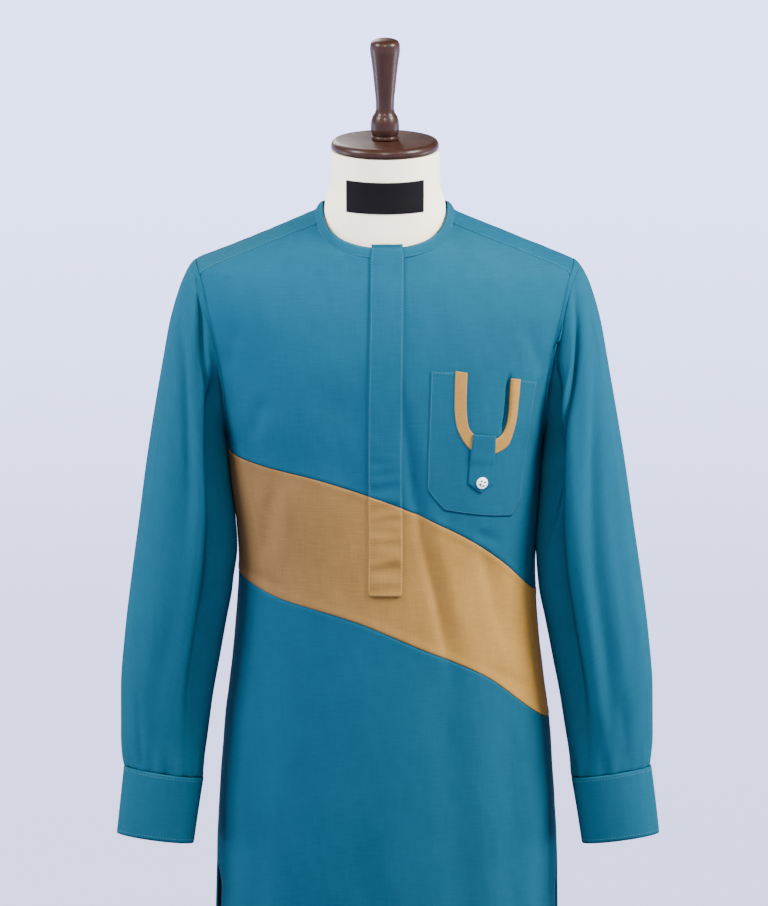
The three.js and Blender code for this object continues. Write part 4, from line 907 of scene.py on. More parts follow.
class Body:
    """The form that the garment's front and back follow."""

    def __init__(self) -> None:
        table = np.array(BODY_SECTIONS).T
        self.half, self.front, self.back, self.square = (Profile(table[0], column) for column in table[1:])
        self.armhole = Profile(*np.array(ARMHOLE).T)

    def depth(self, x: Array, z: Array, side: Array) -> Array:
        """Depth of the body in front of (side -1) or behind (side 1) its middle plane."""
        n = self.square(z)
        reach = np.minimum(1, np.abs(x) / self.half(z))
        return np.where(side < 0, self.front(z), self.back(z)) * (1 - reach ** n) ** (1 / n)

    def outside(self, p: Array) -> Array:
        """How far points are outside (above 0) the body's section at their height."""
        x, y, z = p[..., 0], p[..., 1], p[..., 2]
        n = self.square(z)
        depth = np.where(y < 0, self.front(z), self.back(z))
        return (np.abs(x) / self.half(z)) ** n + (np.abs(y) / depth) ** n - 1

    def normal(self, p: Array) -> Array:
        """The way out of the body at points on it."""
        step = 0.05 * np.eye(3)
        return unit(np.stack([self.outside(p + s) - self.outside(p - s) for s in step], axis=-1))

    def at(self, x: Array, z: Array, side: Array) -> Array:
        """Points on the body."""
        x, z, side = np.broadcast_arrays(np.asarray(x, float), z, side)
        return np.stack([x, side * self.depth(x, z, side), z], axis=-1)

    def section(self, turn: Array, z: Array, side: int) -> Array:
        """Points by their turn from the middle of the front or back, up to 90 degrees at a side."""
        power = 2 / self.square(z)
        depth = self.front(z) if side < 0 else self.back(z)
        sine, cosine = sine_cosine(turn)
        x = self.half(z) * signed_power(sine, power)
        y = side * depth * np.maximum(cosine, 0) ** power
        return np.stack(np.broadcast_arrays(x, y, z), axis=-1)

    def ridge(self, x: Array) -> Array:
        """Height of the shoulders' ridge, rounded off across the neck."""
        reach = np.abs(x)
        rounded = (reach * reach + NECK_ROUNDING ** 2) / (2 * NECK_ROUNDING)
        place = np.where(reach > NECK_ROUNDING, reach, rounded)
        return solve(lambda z: -self.half(z), -place, 1405.0, 1495.0)

    def run_to(self, x: Array, z: Array) -> Array:
        """The run down the cloth from the ridge."""
        drop = np.maximum(0, self.ridge(x) - z)
        return np.sqrt((drop + RIDGE_SOFTNESS) ** 2 - RIDGE_SOFTNESS ** 2)

    def at_run(self, x: Array, run: Array, side: int) -> Array:
        """Points by their run. A run below zero is on the other side of the ridge."""
        drop = np.hypot(run, RIDGE_SOFTNESS) - RIDGE_SOFTNESS
        return self.at(x, self.ridge(x) - drop, np.where(run < 0, -side, side))

    def height_at(self, x: Array, depth: Array, side: int) -> Array:
        """The height at which the body is a given depth."""
        top = self.ridge(x)
        return solve(lambda z: -self.depth(x, z, np.full(np.shape(z), side)), -depth, top - 70, top)

    def neck_seam(self, turn: Array) -> Array:
        """The neck seam by the turn from the middle of the front."""
        power = 2 / NECK_SQUARE
        sine, cosine = sine_cosine(turn)
        front = cosine > 0
        x = NECK_HALF * signed_power(sine, power)
        y = np.where(front, NECK_FRONT, NECK_BACK) * np.abs(cosine) ** power
        z = np.where(front, self.height_at(x, y, -1), self.height_at(x, y, 1))
        return np.stack([x, np.where(front, -y, y), z], axis=-1)

    def shoulder_seam(self, place: Array) -> Array:
        """The forward shoulder seam on the positive side, from 0 at the neck to 1 at the armhole."""
        reach = lerp(SHOULDER_NECK[0], SHOULDER_TIP[0], place)
        forward = lerp(SHOULDER_NECK[1], SHOULDER_TIP[1], place)
        return np.stack([reach, -forward, self.height_at(reach, forward, -1)], axis=-1)


@dataclass
class Drape:
    """Lays grids on the body and gives them their creases.

    Attributes:
        body: the form they follow.
        columns: spaces across a panel, a multiple of four.
    """

    body: Body
    columns: int = 168
    turns: Array = field(init=False)

    def __post_init__(self) -> None:
        fine = np.linspace(-90, 90, 4001)
        outline = self.body.section(fine, np.full(fine.shape, 1100.0), -1)[:, :2]
        run = runs_along(outline)
        self.turns = np.interp(np.linspace(0, run[-1], self.columns + 1), run, fine)

    def lift(self, p: Array) -> Array:
        """The creases' lift at points on the body."""
        x, y, z = p[..., 0], p[..., 1], p[..., 2]
        front = sum(crease.lift(x, z) for crease in FRONT_CREASES)
        back = sum(crease.lift(x, z) for crease in BACK_CREASES)
        wave = Ripple(0.28, (55, 150), 2.6, 7).lift(x + y * 0.6, z)
        wave = wave + Ripple(0.09, (16, 40), 1.8, 11).lift(x + y * 0.6, z)
        clear = smoothstep(np.abs(y), 0, 45)
        return np.where(y < 0, front, back) * clear + wave

    def laid(self, p: Array, above: Array | float = 0.0) -> Array:
        """Points moved to the creased cloth, or a distance above it."""
        return p + self.body.normal(p) * (self.lift(p) + above)[..., None]

    def cloth_place(self, p: Array) -> Array:
        """The places of points on the body in the flat cloth."""
        x, y, z = p[..., 0], p[..., 1], p[..., 2]
        steps = np.linalg.norm(np.diff(p[..., :2], axis=1), axis=-1)
        run = np.pad(np.cumsum(steps, axis=1), ((0, 0), (1, 0)))
        middle = run[:, [run.shape[1] // 2]]
        down = np.where(z > 1330, self.body.run_to(x, np.minimum(z, self.body.ridge(x))), 0)
        edge = self.body.run_to(x, np.minimum(1330.0, self.body.ridge(x)))
        return np.stack([run - middle, np.where(z > 1330, 1330 + edge - down, z)], axis=-1)

    def top_edge(self, side: int) -> Array:
        """The top edge of the front or back: shoulder seam, neck seam, shoulder seam."""
        quarter = self.columns // 4
        shoulder = self.body.shoulder_seam(np.linspace(1, 0, quarter + 1))
        share = np.linspace(0, 1, self.columns - 2 * quarter + 1)[1:-1]
        turn = lerp(-NECK_CORNER, NECK_CORNER, share)
        if side > 0:
            turn = -NECK_CORNER - (360 - 2 * NECK_CORNER) * share
        return np.concatenate([shoulder * (-1, 1, 1), self.body.neck_seam(turn), shoulder[::-1]])

    def armhole_edge(self, place: Array, side: int) -> Array:
        """The armhole's edge as reach and run, by its place from the underarm up."""
        end = self.body.shoulder_seam(np.array(1.0))
        if side < 0:
            z = lerp(UNDERARM, end[2], place ** ARMHOLE_GRADING)
            reach = self.body.armhole(z) + (end[0] - self.body.armhole(end[2])) * place ** 2
            return np.stack([reach, self.body.run_to(reach, z)], axis=-1)
        share = np.minimum(1, place / (1 - OVER_RIDGE)) ** ARMHOLE_GRADING
        z = lerp(UNDERARM, TIP_HEIGHT - TIP_DROP, share)
        reach = self.body.armhole(z)
        run = self.body.run_to(reach, z)
        start_z = np.array(TIP_HEIGHT - TIP_DROP)
        start = self.body.armhole(start_z)
        across = np.clip((place - 1 + OVER_RIDGE) / OVER_RIDGE, 0, 1)
        over_run = lerp(self.body.run_to(start, start_z), -self.body.run_to(end[0], end[2]), across)
        over_reach = lerp(start, end[0], across)
        over_reach = over_reach + (TIP_REACH - (start + end[0]) / 2) * np.sin(np.pi * across)
        over = place > 1 - OVER_RIDGE
        return np.stack([np.where(over, over_reach, reach), np.where(over, over_run, run)], axis=-1)

    def yoke(self, rows: int, side: int) -> Array:
        """The part above the underarms, as a patch blended between its four edges."""
        low = self.body.section(self.turns, np.full(self.turns.shape, UNDERARM), side)
        high = self.top_edge(side)
        sign = np.where((side > 0) & (high[:, 1] < 0), -1, 1)
        bottom = np.stack([low[:, 0], self.body.run_to(low[:, 0], low[:, 2])], axis=-1)[None]
        top = np.stack([high[:, 0], sign * self.body.run_to(high[:, 0], high[:, 2])], axis=-1)[None]
        v = 1 - (1 - np.linspace(0, 1, rows + 1)) ** ROW_GRADING
        right = self.armhole_edge(v, side)[:, None]
        left = right * (-1, 1)
        u, v = np.linspace(0, 1, self.columns + 1)[None, :, None], v[:, None, None]
        place = (
            left * (1 - u) + right * u + bottom * (1 - v) + top * v
            - bottom[:, :1] * (1 - u) * (1 - v) - bottom[:, -1:] * u * (1 - v)
            - top[:, :1] * (1 - u) * v - top[:, -1:] * u * v
        )
        return self.body.at_run(place[..., 0], place[..., 1], side)

    def vented(self, z: Array) -> Array:
        """Column turns drawn in from the side seam where the vent is open."""
        opening = smoothstep(VENT_TOP - z, 0, VENT_TOP - HEM) * VENT_PARTING / self.body.front(z)
        return self.turns * (1 - np.degrees(opening) / 90)

    def vented_section(self, z: Array, side: int) -> Array:
        """Points of a section, with the front's free edges hanging inwards below the vents' tops."""
        turn = self.vented(z)
        points = self.body.section(turn, z, side)
        if side < 0:
            inward = np.where(turn < 0, VENT_LEFT, -VENT_RIGHT) * smoothstep(np.abs(turn), 60, 90)
            points[..., 0] += inward * smoothstep(VENT_TOP - z, 0, VENT_DROOP)
        return points

    def levels(self, low: Curve, high: Curve, rows: int, side: int) -> Array:
        """Rows between two edges that are given as heights for a place across."""
        edges = []
        for edge in (low, high):
            z = np.broadcast_to(edge(np.zeros(self.turns.shape)), self.turns.shape).astype(float)
            for _ in range(8):
                z = np.broadcast_to(edge(self.vented_section(z, side)[:, 0]), z.shape)
            edges.append(z)
        z = lerp(edges[0][None], edges[1][None], np.linspace(0, 1, rows + 1)[:, None])
        return self.vented_section(z, side)

    def panel(self, p: Array, tucks: dict[Edge, float], hemmed: bool = False) -> Sheet:
        """A panel on the body, with its sewn edges tucked in and its hem a little thicker.

        Args:
            p: its points on the body.
            tucks: how deep each sewn edge is turned in. An edge below 0.5 lies over its neighbour.
            hemmed: whether its lower edge is a hem.

        Returns:
            The creased sheet.
        """
        sheet = Sheet(p, self.cloth_place(p))
        lift = self.lift(p)
        for edge, depth in tucks.items():
            run = sheet.edge_runs(edge)
            sewn = depth > 0.5
            lift = lift + (0.3 if sewn else 0.7) * bell(run - 4, 4.5)
            lift = lift - (0.35 if sewn else -0.3) * bell(run, 2.2)
        if hemmed:
            lift = lift + 0.3 * (1 - smoothstep(sheet.edge_runs(Edge.BOTTOM), 14, 17))
        sheet = replace(sheet, points=p + self.body.normal(p) * lift[..., None])
        for edge, depth in tucks.items():
            sheet = sheet.tucked(edge, depth)
        return sheet


def leaned(z: Array) -> Array:
    """How far the body of the garment hangs to the right below its underarms."""
    return np.array([BODY_LEAN, 0, 0]) * smoothstep(UNDERARM - z, 0, LEAN_DROP)[..., None]


@dataclass
class Piece:
    """A finished piece of cloth, with how it is held and what carries it.

    Attributes:
        name: the piece's name, and also the start of its object's name.
        sheet: its cloth.
        slot: its material slot, which picks tan or teal cloth.
        held: how the cloth is held.
        rests_on: what carries it.
    """

    name: str
    sheet: Sheet
    slot: str
    held: str
    rests_on: tuple[str, ...]

    def build(self, finishes: Finishes) -> None:
        material = finishes.tan if self.slot == "tan_cloth" else finishes.teal
        made = self.sheet.build(f"{self.name}_cloth", material)
        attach(made, "root")
        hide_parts(self.name)
        self.sheet.declare(made, self.held, self.rests_on)


@dataclass
class Kaftan:
    """The whole garment.

    Attributes:
        drape: lays its panels.
        finishes: the scene's materials.
    """

    drape: Drape
    finishes: Finishes
    pieces: dict[str, Piece] = field(default_factory=dict)
    seams: list[Seam] = field(default_factory=list)
    tan_seams: list[Seam] = field(default_factory=list)

    def add(
        self,
        name: str,
        sheet: Sheet,
        slot: str = "teal_cloth",
        held: str = "hung",
        on: tuple = ("form_body",),
    ) -> Sheet:
        """Keeps one piece of cloth, once its lower part is moved by the body's lean."""
        if not name.startswith(("sleeve", "cuff", "neck")):
            sheet = replace(sheet, points=sheet.points + leaned(sheet.points[..., 2]))
        self.pieces[name] = Piece(name, sheet, slot, held, on)
        return sheet

    def panels(self) -> None:
        """Lays the front's three panels and the back."""
        drape = self.drape
        band_top, band_bottom = Profile(*np.array(BAND_TOP).T), Profile(*np.array(BAND_BOTTOM).T)
        self.band_top = band_top

        def flat_edge(height: float):
            return lambda x: np.full(np.shape(x), height)

        front_yoke, back_yoke = drape.yoke(100, -1), drape.yoke(96, 1)
        upper = np.concatenate([drape.levels(band_top, flat_edge(UNDERARM), 44, -1), front_yoke[1:]])
        sides = {Edge.LEFT: 1.5, Edge.RIGHT: 1.5}
        self.add("front_upper", drape.panel(upper, {**sides, Edge.TOP: 1.5, Edge.BOTTOM: 1.6}))
        band = drape.levels(band_bottom, band_top, 56, -1)
        band_cloth = drape.panel(band, {**sides, Edge.TOP: 0.35, Edge.BOTTOM: 0.35})
        self.add("front_band", band_cloth, "tan_cloth")
        lower = drape.levels(flat_edge(HEM), band_bottom, 124, -1)
        front_lower = self.add("front_lower", drape.panel(lower, {**sides, Edge.TOP: 1.4}, True))
        skirt = drape.levels(flat_edge(HEM), flat_edge(UNDERARM), 130, 1)
        back = np.concatenate([skirt, back_yoke[1:]])[:, ::-1]
        back_sheet = self.add("back", drape.panel(back, {**sides, Edge.TOP: 1.2}, True))
        self.loops = {
            side: np.concatenate([front_yoke[::-1, column], back_yoke[1:-1, column]])
            for side, column in ((-1, 0), (1, -1))
        }
        for sheet in (front_lower, back_sheet):
            self.seams.append(sheet.seam(Edge.BOTTOM, 15))
        third = drape.columns // 4 / drape.columns
        for low, high in ((0.01, third), (1 - third, 0.99)):
            self.seams.append(back_sheet.seam(Edge.TOP, 2.4).part(low, high))

    def sleeve(self, name: str, side: int, swing: float, creases: tuple[Crease, ...]) -> None:
        """Lays one sleeve and its cuff."""
        loop = spread(np.concatenate([self.loops[side], self.loops[side][:1]]), 151)[:-1]
        head = SLEEVE_SECTIONS[0]
        middle, half = (head[1] + head[3]) / 2, (head[1] - head[3]) / 2
        turns = np.degrees(np.unwrap(np.arctan2(-loop[:, 1] / head[4], (loop[:, 2] - middle) / half)))
        along = unit(np.roll(loop, -1, axis=0) - np.roll(loop, 1, axis=0))
        lip = unit(np.cross(self.drape.body.normal(loop), along)) * side
        arm = Arm(SLEEVE_SECTIONS, side, swing)
        places = np.linspace(0, 1, 150) ** 1.12
        shift = loop + 2 * lip - arm.ring(np.array([0.0]), turns, np.array([0.0]))[0]
        rings = arm.ring(places, turns, places ** 2)
        rings = rings + shift * (np.maximum(0, 1 - places / HEAD_BLEND) ** 2)[:, None, None]
        rings = np.concatenate([[loop + 0.2 * lip, loop + 1.1 * lip], rings])
        places = np.concatenate([[0, 0], places])
        grid_turn = np.broadcast_to(turns, rings.shape[:2])
        grid_place = np.broadcast_to(places[:, None], rings.shape[:2])
        length = 640.0
        cloth = np.stack([grid_turn * 1.08, -grid_place * length], axis=-1)
        order = slice(None) if side > 0 else slice(None, None, -1)
        sheet = Sheet(rings[:, order], cloth[:, order], closed=True)
        grid_turn, grid_place = grid_turn[:, order], grid_place[:, order]
        from_seam = sheet.edge_runs(Edge.BOTTOM)
        from_cuff = sheet.edge_runs(Edge.TOP)
        lift = sum(crease.lift(grid_turn, grid_place) for crease in creases)
        lift = lift + Ripple(0.3, (45, 120), 3.0, 21 + side).lift(grid_turn, -grid_place * length)
        gather = Ripple(0.8, (13, 30), 6.0, 31 + side).lift(grid_turn, -grid_place * length)
        lift = lift + gather * bell(from_cuff, 34)
        lift = lift * smoothstep(from_seam, 1, 14)
        lift = lift + 0.3 * bell(from_seam - 5, 4) + 0.2 * bell(from_cuff - 11, 9)
        for crease in INNER_CREASES:
            lift = lift + crease.lift(grid_turn, grid_place)
        sleeve = sheet.moved(lift).tucked(Edge.BOTTOM, 1.1).tucked(Edge.TOP, 0.6)
        self.add(f"sleeve_{name}", sleeve, held="hung", on=("form_body",))
        cuff_arm = Arm(CUFF_SECTIONS, side, swing)
        down = np.linspace(0, 1, 30)
        cuff_rings = cuff_arm.ring(down, turns, 1 + 0.12 * down)
        cuff_turn = np.broadcast_to(turns, cuff_rings.shape[:2])
        cuff_cloth = np.stack([cuff_turn * 0.92, np.broadcast_to(-down[:, None] * 84, cuff_turn.shape)], axis=-1)
        cuff = Sheet(cuff_rings[:, order], cuff_cloth[:, order], 1.7, True)
        ends = cuff.nearer_edge(Edge.BOTTOM, Edge.TOP)
        wave = Ripple(0.22, (50, 110), 2.0, 41 + side).lift(cuff_turn, cuff_cloth[..., 1])[:, order]
        cuff = cuff.moved(wave - 0.15 - 0.3 * bell(ends, 1.6))
        self.add(f"cuff_{name}", cuff, held="hung", on=(f"sleeve_{name}",))
        self.seams.append(cuff.seam(Edge.BOTTOM, 4.5))
        self.seams.append(cuff.seam(Edge.TOP, 4.5))

    def neck(self) -> None:
        """Lays the neck binding and the placket over it."""
        turns = np.linspace(-180, 180, 241)[:-1]
        places = np.linspace(-0.16, 1, 12)
        binding = Sheet(self.binding(turns, places), self.ring_cloth(turns, places), 1.5, True)
        ends = binding.nearer_edge(Edge.BOTTOM, Edge.TOP)
        binding = binding.moved(0.5 * (1 - bell(ends, 1.5)))
        self.add("neck_binding", binding, held="stretched")
        self.seams.append(binding.seam(Edge.BOTTOM, 2.2))
        self.seams.append(binding.seam(Edge.TOP, 2.4))
        width, bottom = 40.5, 1026.0
        neck_front = float(self.drape.body.neck_seam(np.array(0.0))[2])
        shares = np.linspace(-1, 1, 19)

        def across(z: Array) -> Array:
            return lerp(-2.2, 2.7, (z - bottom) / (neck_front - bottom)) + shares * width / 2

        join = self.band_top(across(bottom))
        corner = 3.0 * np.clip((np.abs(shares) - 0.84) / 0.16, 0, 1) ** 2
        low = self.placket_rows(across, bottom + corner, join, 46)
        high = self.placket_rows(across, join, np.full(shares.shape, 1428.0), 124)
        sine = np.clip(np.abs(across(neck_front)) / NECK_HALF, 0, 1) ** (NECK_SQUARE / 2)
        neck_turn = np.sign(across(neck_front)) * np.degrees(np.arcsin(sine))
        over = self.binding(neck_turn, np.linspace(0.14, 0.99, 7))
        raised = over[-1:] + np.array([[[0, 0, 1.6]], [[0, 0, 3.2]], [[0, 0, 4.8]]])
        high = np.concatenate([high, over, raised])
        for _ in range(3):
            high[-15:-1] = (high[-16:-2] + 2 * high[-15:-1] + high[-14:]) / 4
        for name, rows, slot, sewn in (("placket_lower", low, "tan_cloth", Edge.TOP),
                                       ("placket_upper", high, "teal_cloth", Edge.BOTTOM)):
            flat = np.stack([np.broadcast_to(shares * width / 2, rows.shape[:2]), rows[..., 2]], axis=-1)
            sheet = Sheet(rows, flat, 1.3)
            pucker = Ripple(0.42, (9, 26), 1.0, 5).lift(rows[..., 0] * 0.22, rows[..., 2])
            pucker = pucker * (1 - smoothstep(rows[..., 2], 1130, 1250))
            sides = sheet.nearer_edge(Edge.LEFT, Edge.RIGHT)
            lift = 1.8 + pucker * smoothstep(sides, 0, 5) - 0.35 * bell(sides, 1.4)
            lift = lift - 0.4 * bell(sheet.edge_runs(sewn), 1.4)
            sheet = self.add(name, sheet.moved(lift), slot, "laid", ("front_upper", "front_band"))
            kept = self.tan_seams if slot == "tan_cloth" else self.seams
            for edge in (Edge.LEFT, Edge.RIGHT):
                kept.append(sheet.seam(edge, 2.2).part(0.01 if slot == "teal_cloth" else 0.04, 1.0))
            if slot == "tan_cloth":
                kept.append(sheet.seam(Edge.BOTTOM, 2.6).part(0.08, 0.92))

    def placket_rows(self, across: Curve, low: Array, high: Array, rows: int) -> Array:
        """Rows of the placket on the creased front, between two edges."""
        z = lerp(low[None], high[None], np.linspace(0, 1, rows + 1)[:, None])
        x = np.stack([across(row) for row in z])
        return self.drape.laid(self.drape.body.at(x, z, -1))

    def binding(self, turn: Array, place: Array) -> Array:
        """Points of the binding, by the turn round the neck and the place from its seam to its edge."""
        seam = self.drape.body.neck_seam(turn)[None]
        inward = -unit(seam * (1, 1, 0))
        place = place[:, None, None]
        roll = 0.7 * np.sin(np.pi * place)
        return seam + inward * (7.5 * place - roll) + np.array([0, 0, 1.0]) * (9.5 * place + roll)

    def ring_cloth(self, turn: Array, place: Array) -> Array:
        """Places in the flat cloth of a strip that runs round the neck."""
        return np.stack(np.broadcast_arrays(turn[None] * 1.36, place[:, None] * 12), axis=-1).copy()

    def pocket(self) -> None:
        """Lays the chest pocket, the edging of its mouth and its tab."""
        table = np.array(POCKET_LINES) + POCKET_SHIFT * 3
        fine = np.linspace(0, len(table) - 1, 16 * (len(table) - 1) + 1)
        index = np.arange(len(table))
        smooth = [Profile(index, table[:, i])(fine) for i in range(4)]
        straight = [np.interp(fine, index, table[:, i]) for i in (4, 5)]
        mouth, rim, outline = (np.stack(pair, axis=-1) for pair in (smooth[:2], smooth[2:], straight))
        gape = 1.8 * smoothstep(fine, 9.5, 12.5) * (1 - 0.25 * smoothstep(fine, 13.5, 15))
        gape = gape + 0.8 * (1 - smoothstep(fine, 1.0, 5.0))
        specs = (
            ("pocket", outline, 40, 1.0, "teal_cloth", 0.9),
            ("pocket_trim", rim, 10, 0.9, "tan_cloth", 2.0),
        )
        for name, far, steps, thickness, slot, above in specs:
            share = np.linspace(0, 1, steps + 1)[:, None, None]
            flat = lerp(far[None], mouth[None], share)
            base = self.drape.body.at(flat[..., 0], flat[..., 1], -1)
            sheet = Sheet(self.drape.laid(base), flat, thickness)
            reach = np.linalg.norm(flat - mouth[None], axis=-1)
            lift = above + gape[None] * bell(reach, 15)
            lift = lift - 0.3 * bell(sheet.nearer_edge(Edge.TOP, Edge.BOTTOM), RIM_WIDTH)
            sheet = replace(sheet, points=self.drape.laid(base, lift))
            sheet = self.add(name, sheet, slot, "laid", ("front_upper",))
            if name == "pocket":
                self.seams.append(sheet.seam(Edge.BOTTOM, 2.0).part(0.005, 0.995))
                self.seams.append(sheet.seam(Edge.LEFT, 2.0))
                self.seams.append(sheet.seam(Edge.RIGHT, 2.0))
            else:
                self.tan_seams.append(sheet.seam(Edge.BOTTOM, 1.6).part(0.01, 0.99))
        rows = np.array(TAB_ROWS) + (TAB_SHIFT[1], TAB_SHIFT[0], TAB_SHIFT[0], 0)
        fine = np.linspace(0, len(rows) - 1, 41)
        z, left, right, drop = (np.interp(fine, np.arange(len(rows)), column) for column in rows.T)
        share = np.linspace(0, 1, 25)
        x = lerp(left[:, None], right[:, None], share)
        point = TAB_POINT * (1 - np.abs(2 * share - 1)) * np.clip(1 - fine, 0, 1)[:, None]
        height = z[:, None] + drop[:, None] * share - point
        base = self.drape.body.at(x, height, -1)
        tab = Sheet(self.drape.laid(base), np.stack([x, height], axis=-1), 1.2)
        rims = tab.nearer_edge(Edge.LEFT, Edge.RIGHT)
        lift = TAB_LIFT + 1.1 * smoothstep(z, 1184, 1196) + 0.5 * smoothstep(z, 1200, 1222)
        tab = tab.moved(lift[:, None] - 0.3 * bell(rims, RIM_WIDTH))
        self.add("pocket_tab", tab, "teal_cloth", "laid", ("pocket",))

    def build(self) -> None:
        """Lays and makes every piece, its stitches and the snap."""
        self.panels()
        self.sleeve("left", -1, 0.0, LEFT_CREASES)
        self.sleeve("right", 1, 6.0, RIGHT_CREASES)
        self.neck()
        self.pocket()
        for piece in self.pieces.values():
            piece.build(self.finishes)
        Stitching("stitches", self.seams, "teal_cloth").build(self.finishes.thread)
        Stitching("band_stitches", self.tan_seams, "tan_cloth").build(self.finishes.tan_thread)
        self.snap()

    def snap(self) -> None:
        """Makes the round jewelled snap that closes the tab."""
        place = np.add(SNAP_PLACE, TAB_SHIFT)
        seat = self.drape.body.at(place[0], place[1], -1)
        out = self.drape.body.normal(seat)
        above = float(self.drape.lift(seat)) + TAB_LIFT + SNAP_CLEAR
        centre = seat + out * above + leaned(seat[2])
        side = unit(np.cross(np.array([0, 0, 1.0]), out))
        up = np.cross(out, side)
        axes = np.stack([side, up, out])
        lathes = [lathe_points(*pair) for pair in zip((SNAP_BEZEL, SNAP_FACETS), SNAP_SIDES)]
        made = join_lathes("snap_jewel", lathes, SNAP_SIDES, axes, centre, self.finishes.silver)
        # painted reflections: every second facet of the sloping crown takes the black label finish, standing for
        # dark reflections in the cut stone
        made.data.materials.append(self.finishes.label)
        faces, sides = made.data.polygons, SNAP_SIDES[1]
        back = len(faces) - np.arange(len(faces))
        reflection_dark_facets = (back > sides) & (back <= 2 * sides) & (back % 2 == 0)
        faces.foreach_set("material_index", reflection_dark_facets.astype(np.int32))
        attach(made, "root")
        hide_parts("snap_button")


class Arm:
    """Rings of a sleeve or cuff down one arm."""

    def __init__(self, sections: tuple, side: int, swing: float) -> None:
        table = np.array(sections, float)
        place = np.linspace(0, 1, len(table))
        self.reads = [Profile(place, column) for column in table.T]
        self.side, self.swing = side, swing

    def middle(self, place: Array) -> Array:
        """The arm's axis at places along it."""
        out_x, out_z, in_x, in_z, _, forward = (read(place) for read in self.reads)
        return np.stack([(out_x + in_x) / 2, -forward, (out_z + in_z) / 2], axis=-1)

    def ring(self, place: Array, turn: Array, share: Array) -> Array:
        """Rings at places along the arm, each point by its turn, with a share of the swing."""
        out_x, out_z, in_x, in_z, depth, _ = (read(place) for read in self.reads)
        zero = np.zeros(place.shape)
        across = np.stack([out_x - in_x, zero, out_z - in_z], axis=-1) / 2
        step = 0.02
        down = unit(self.middle(np.minimum(1, place + step)) - self.middle(np.maximum(0, place - step)))
        ahead = np.array([0, -1.0, 0]) - down * (down @ np.array([0, -1.0, 0]))[:, None]
        ahead = unit(ahead) * depth[:, None]
        sine, cosine = (part[:, None] for part in sine_cosine(turn))
        points = self.middle(place)[:, None] + across[:, None] * cosine + ahead[:, None] * sine
        points[..., 0] = self.side * (points[..., 0] + self.swing * share[:, None])
        return points


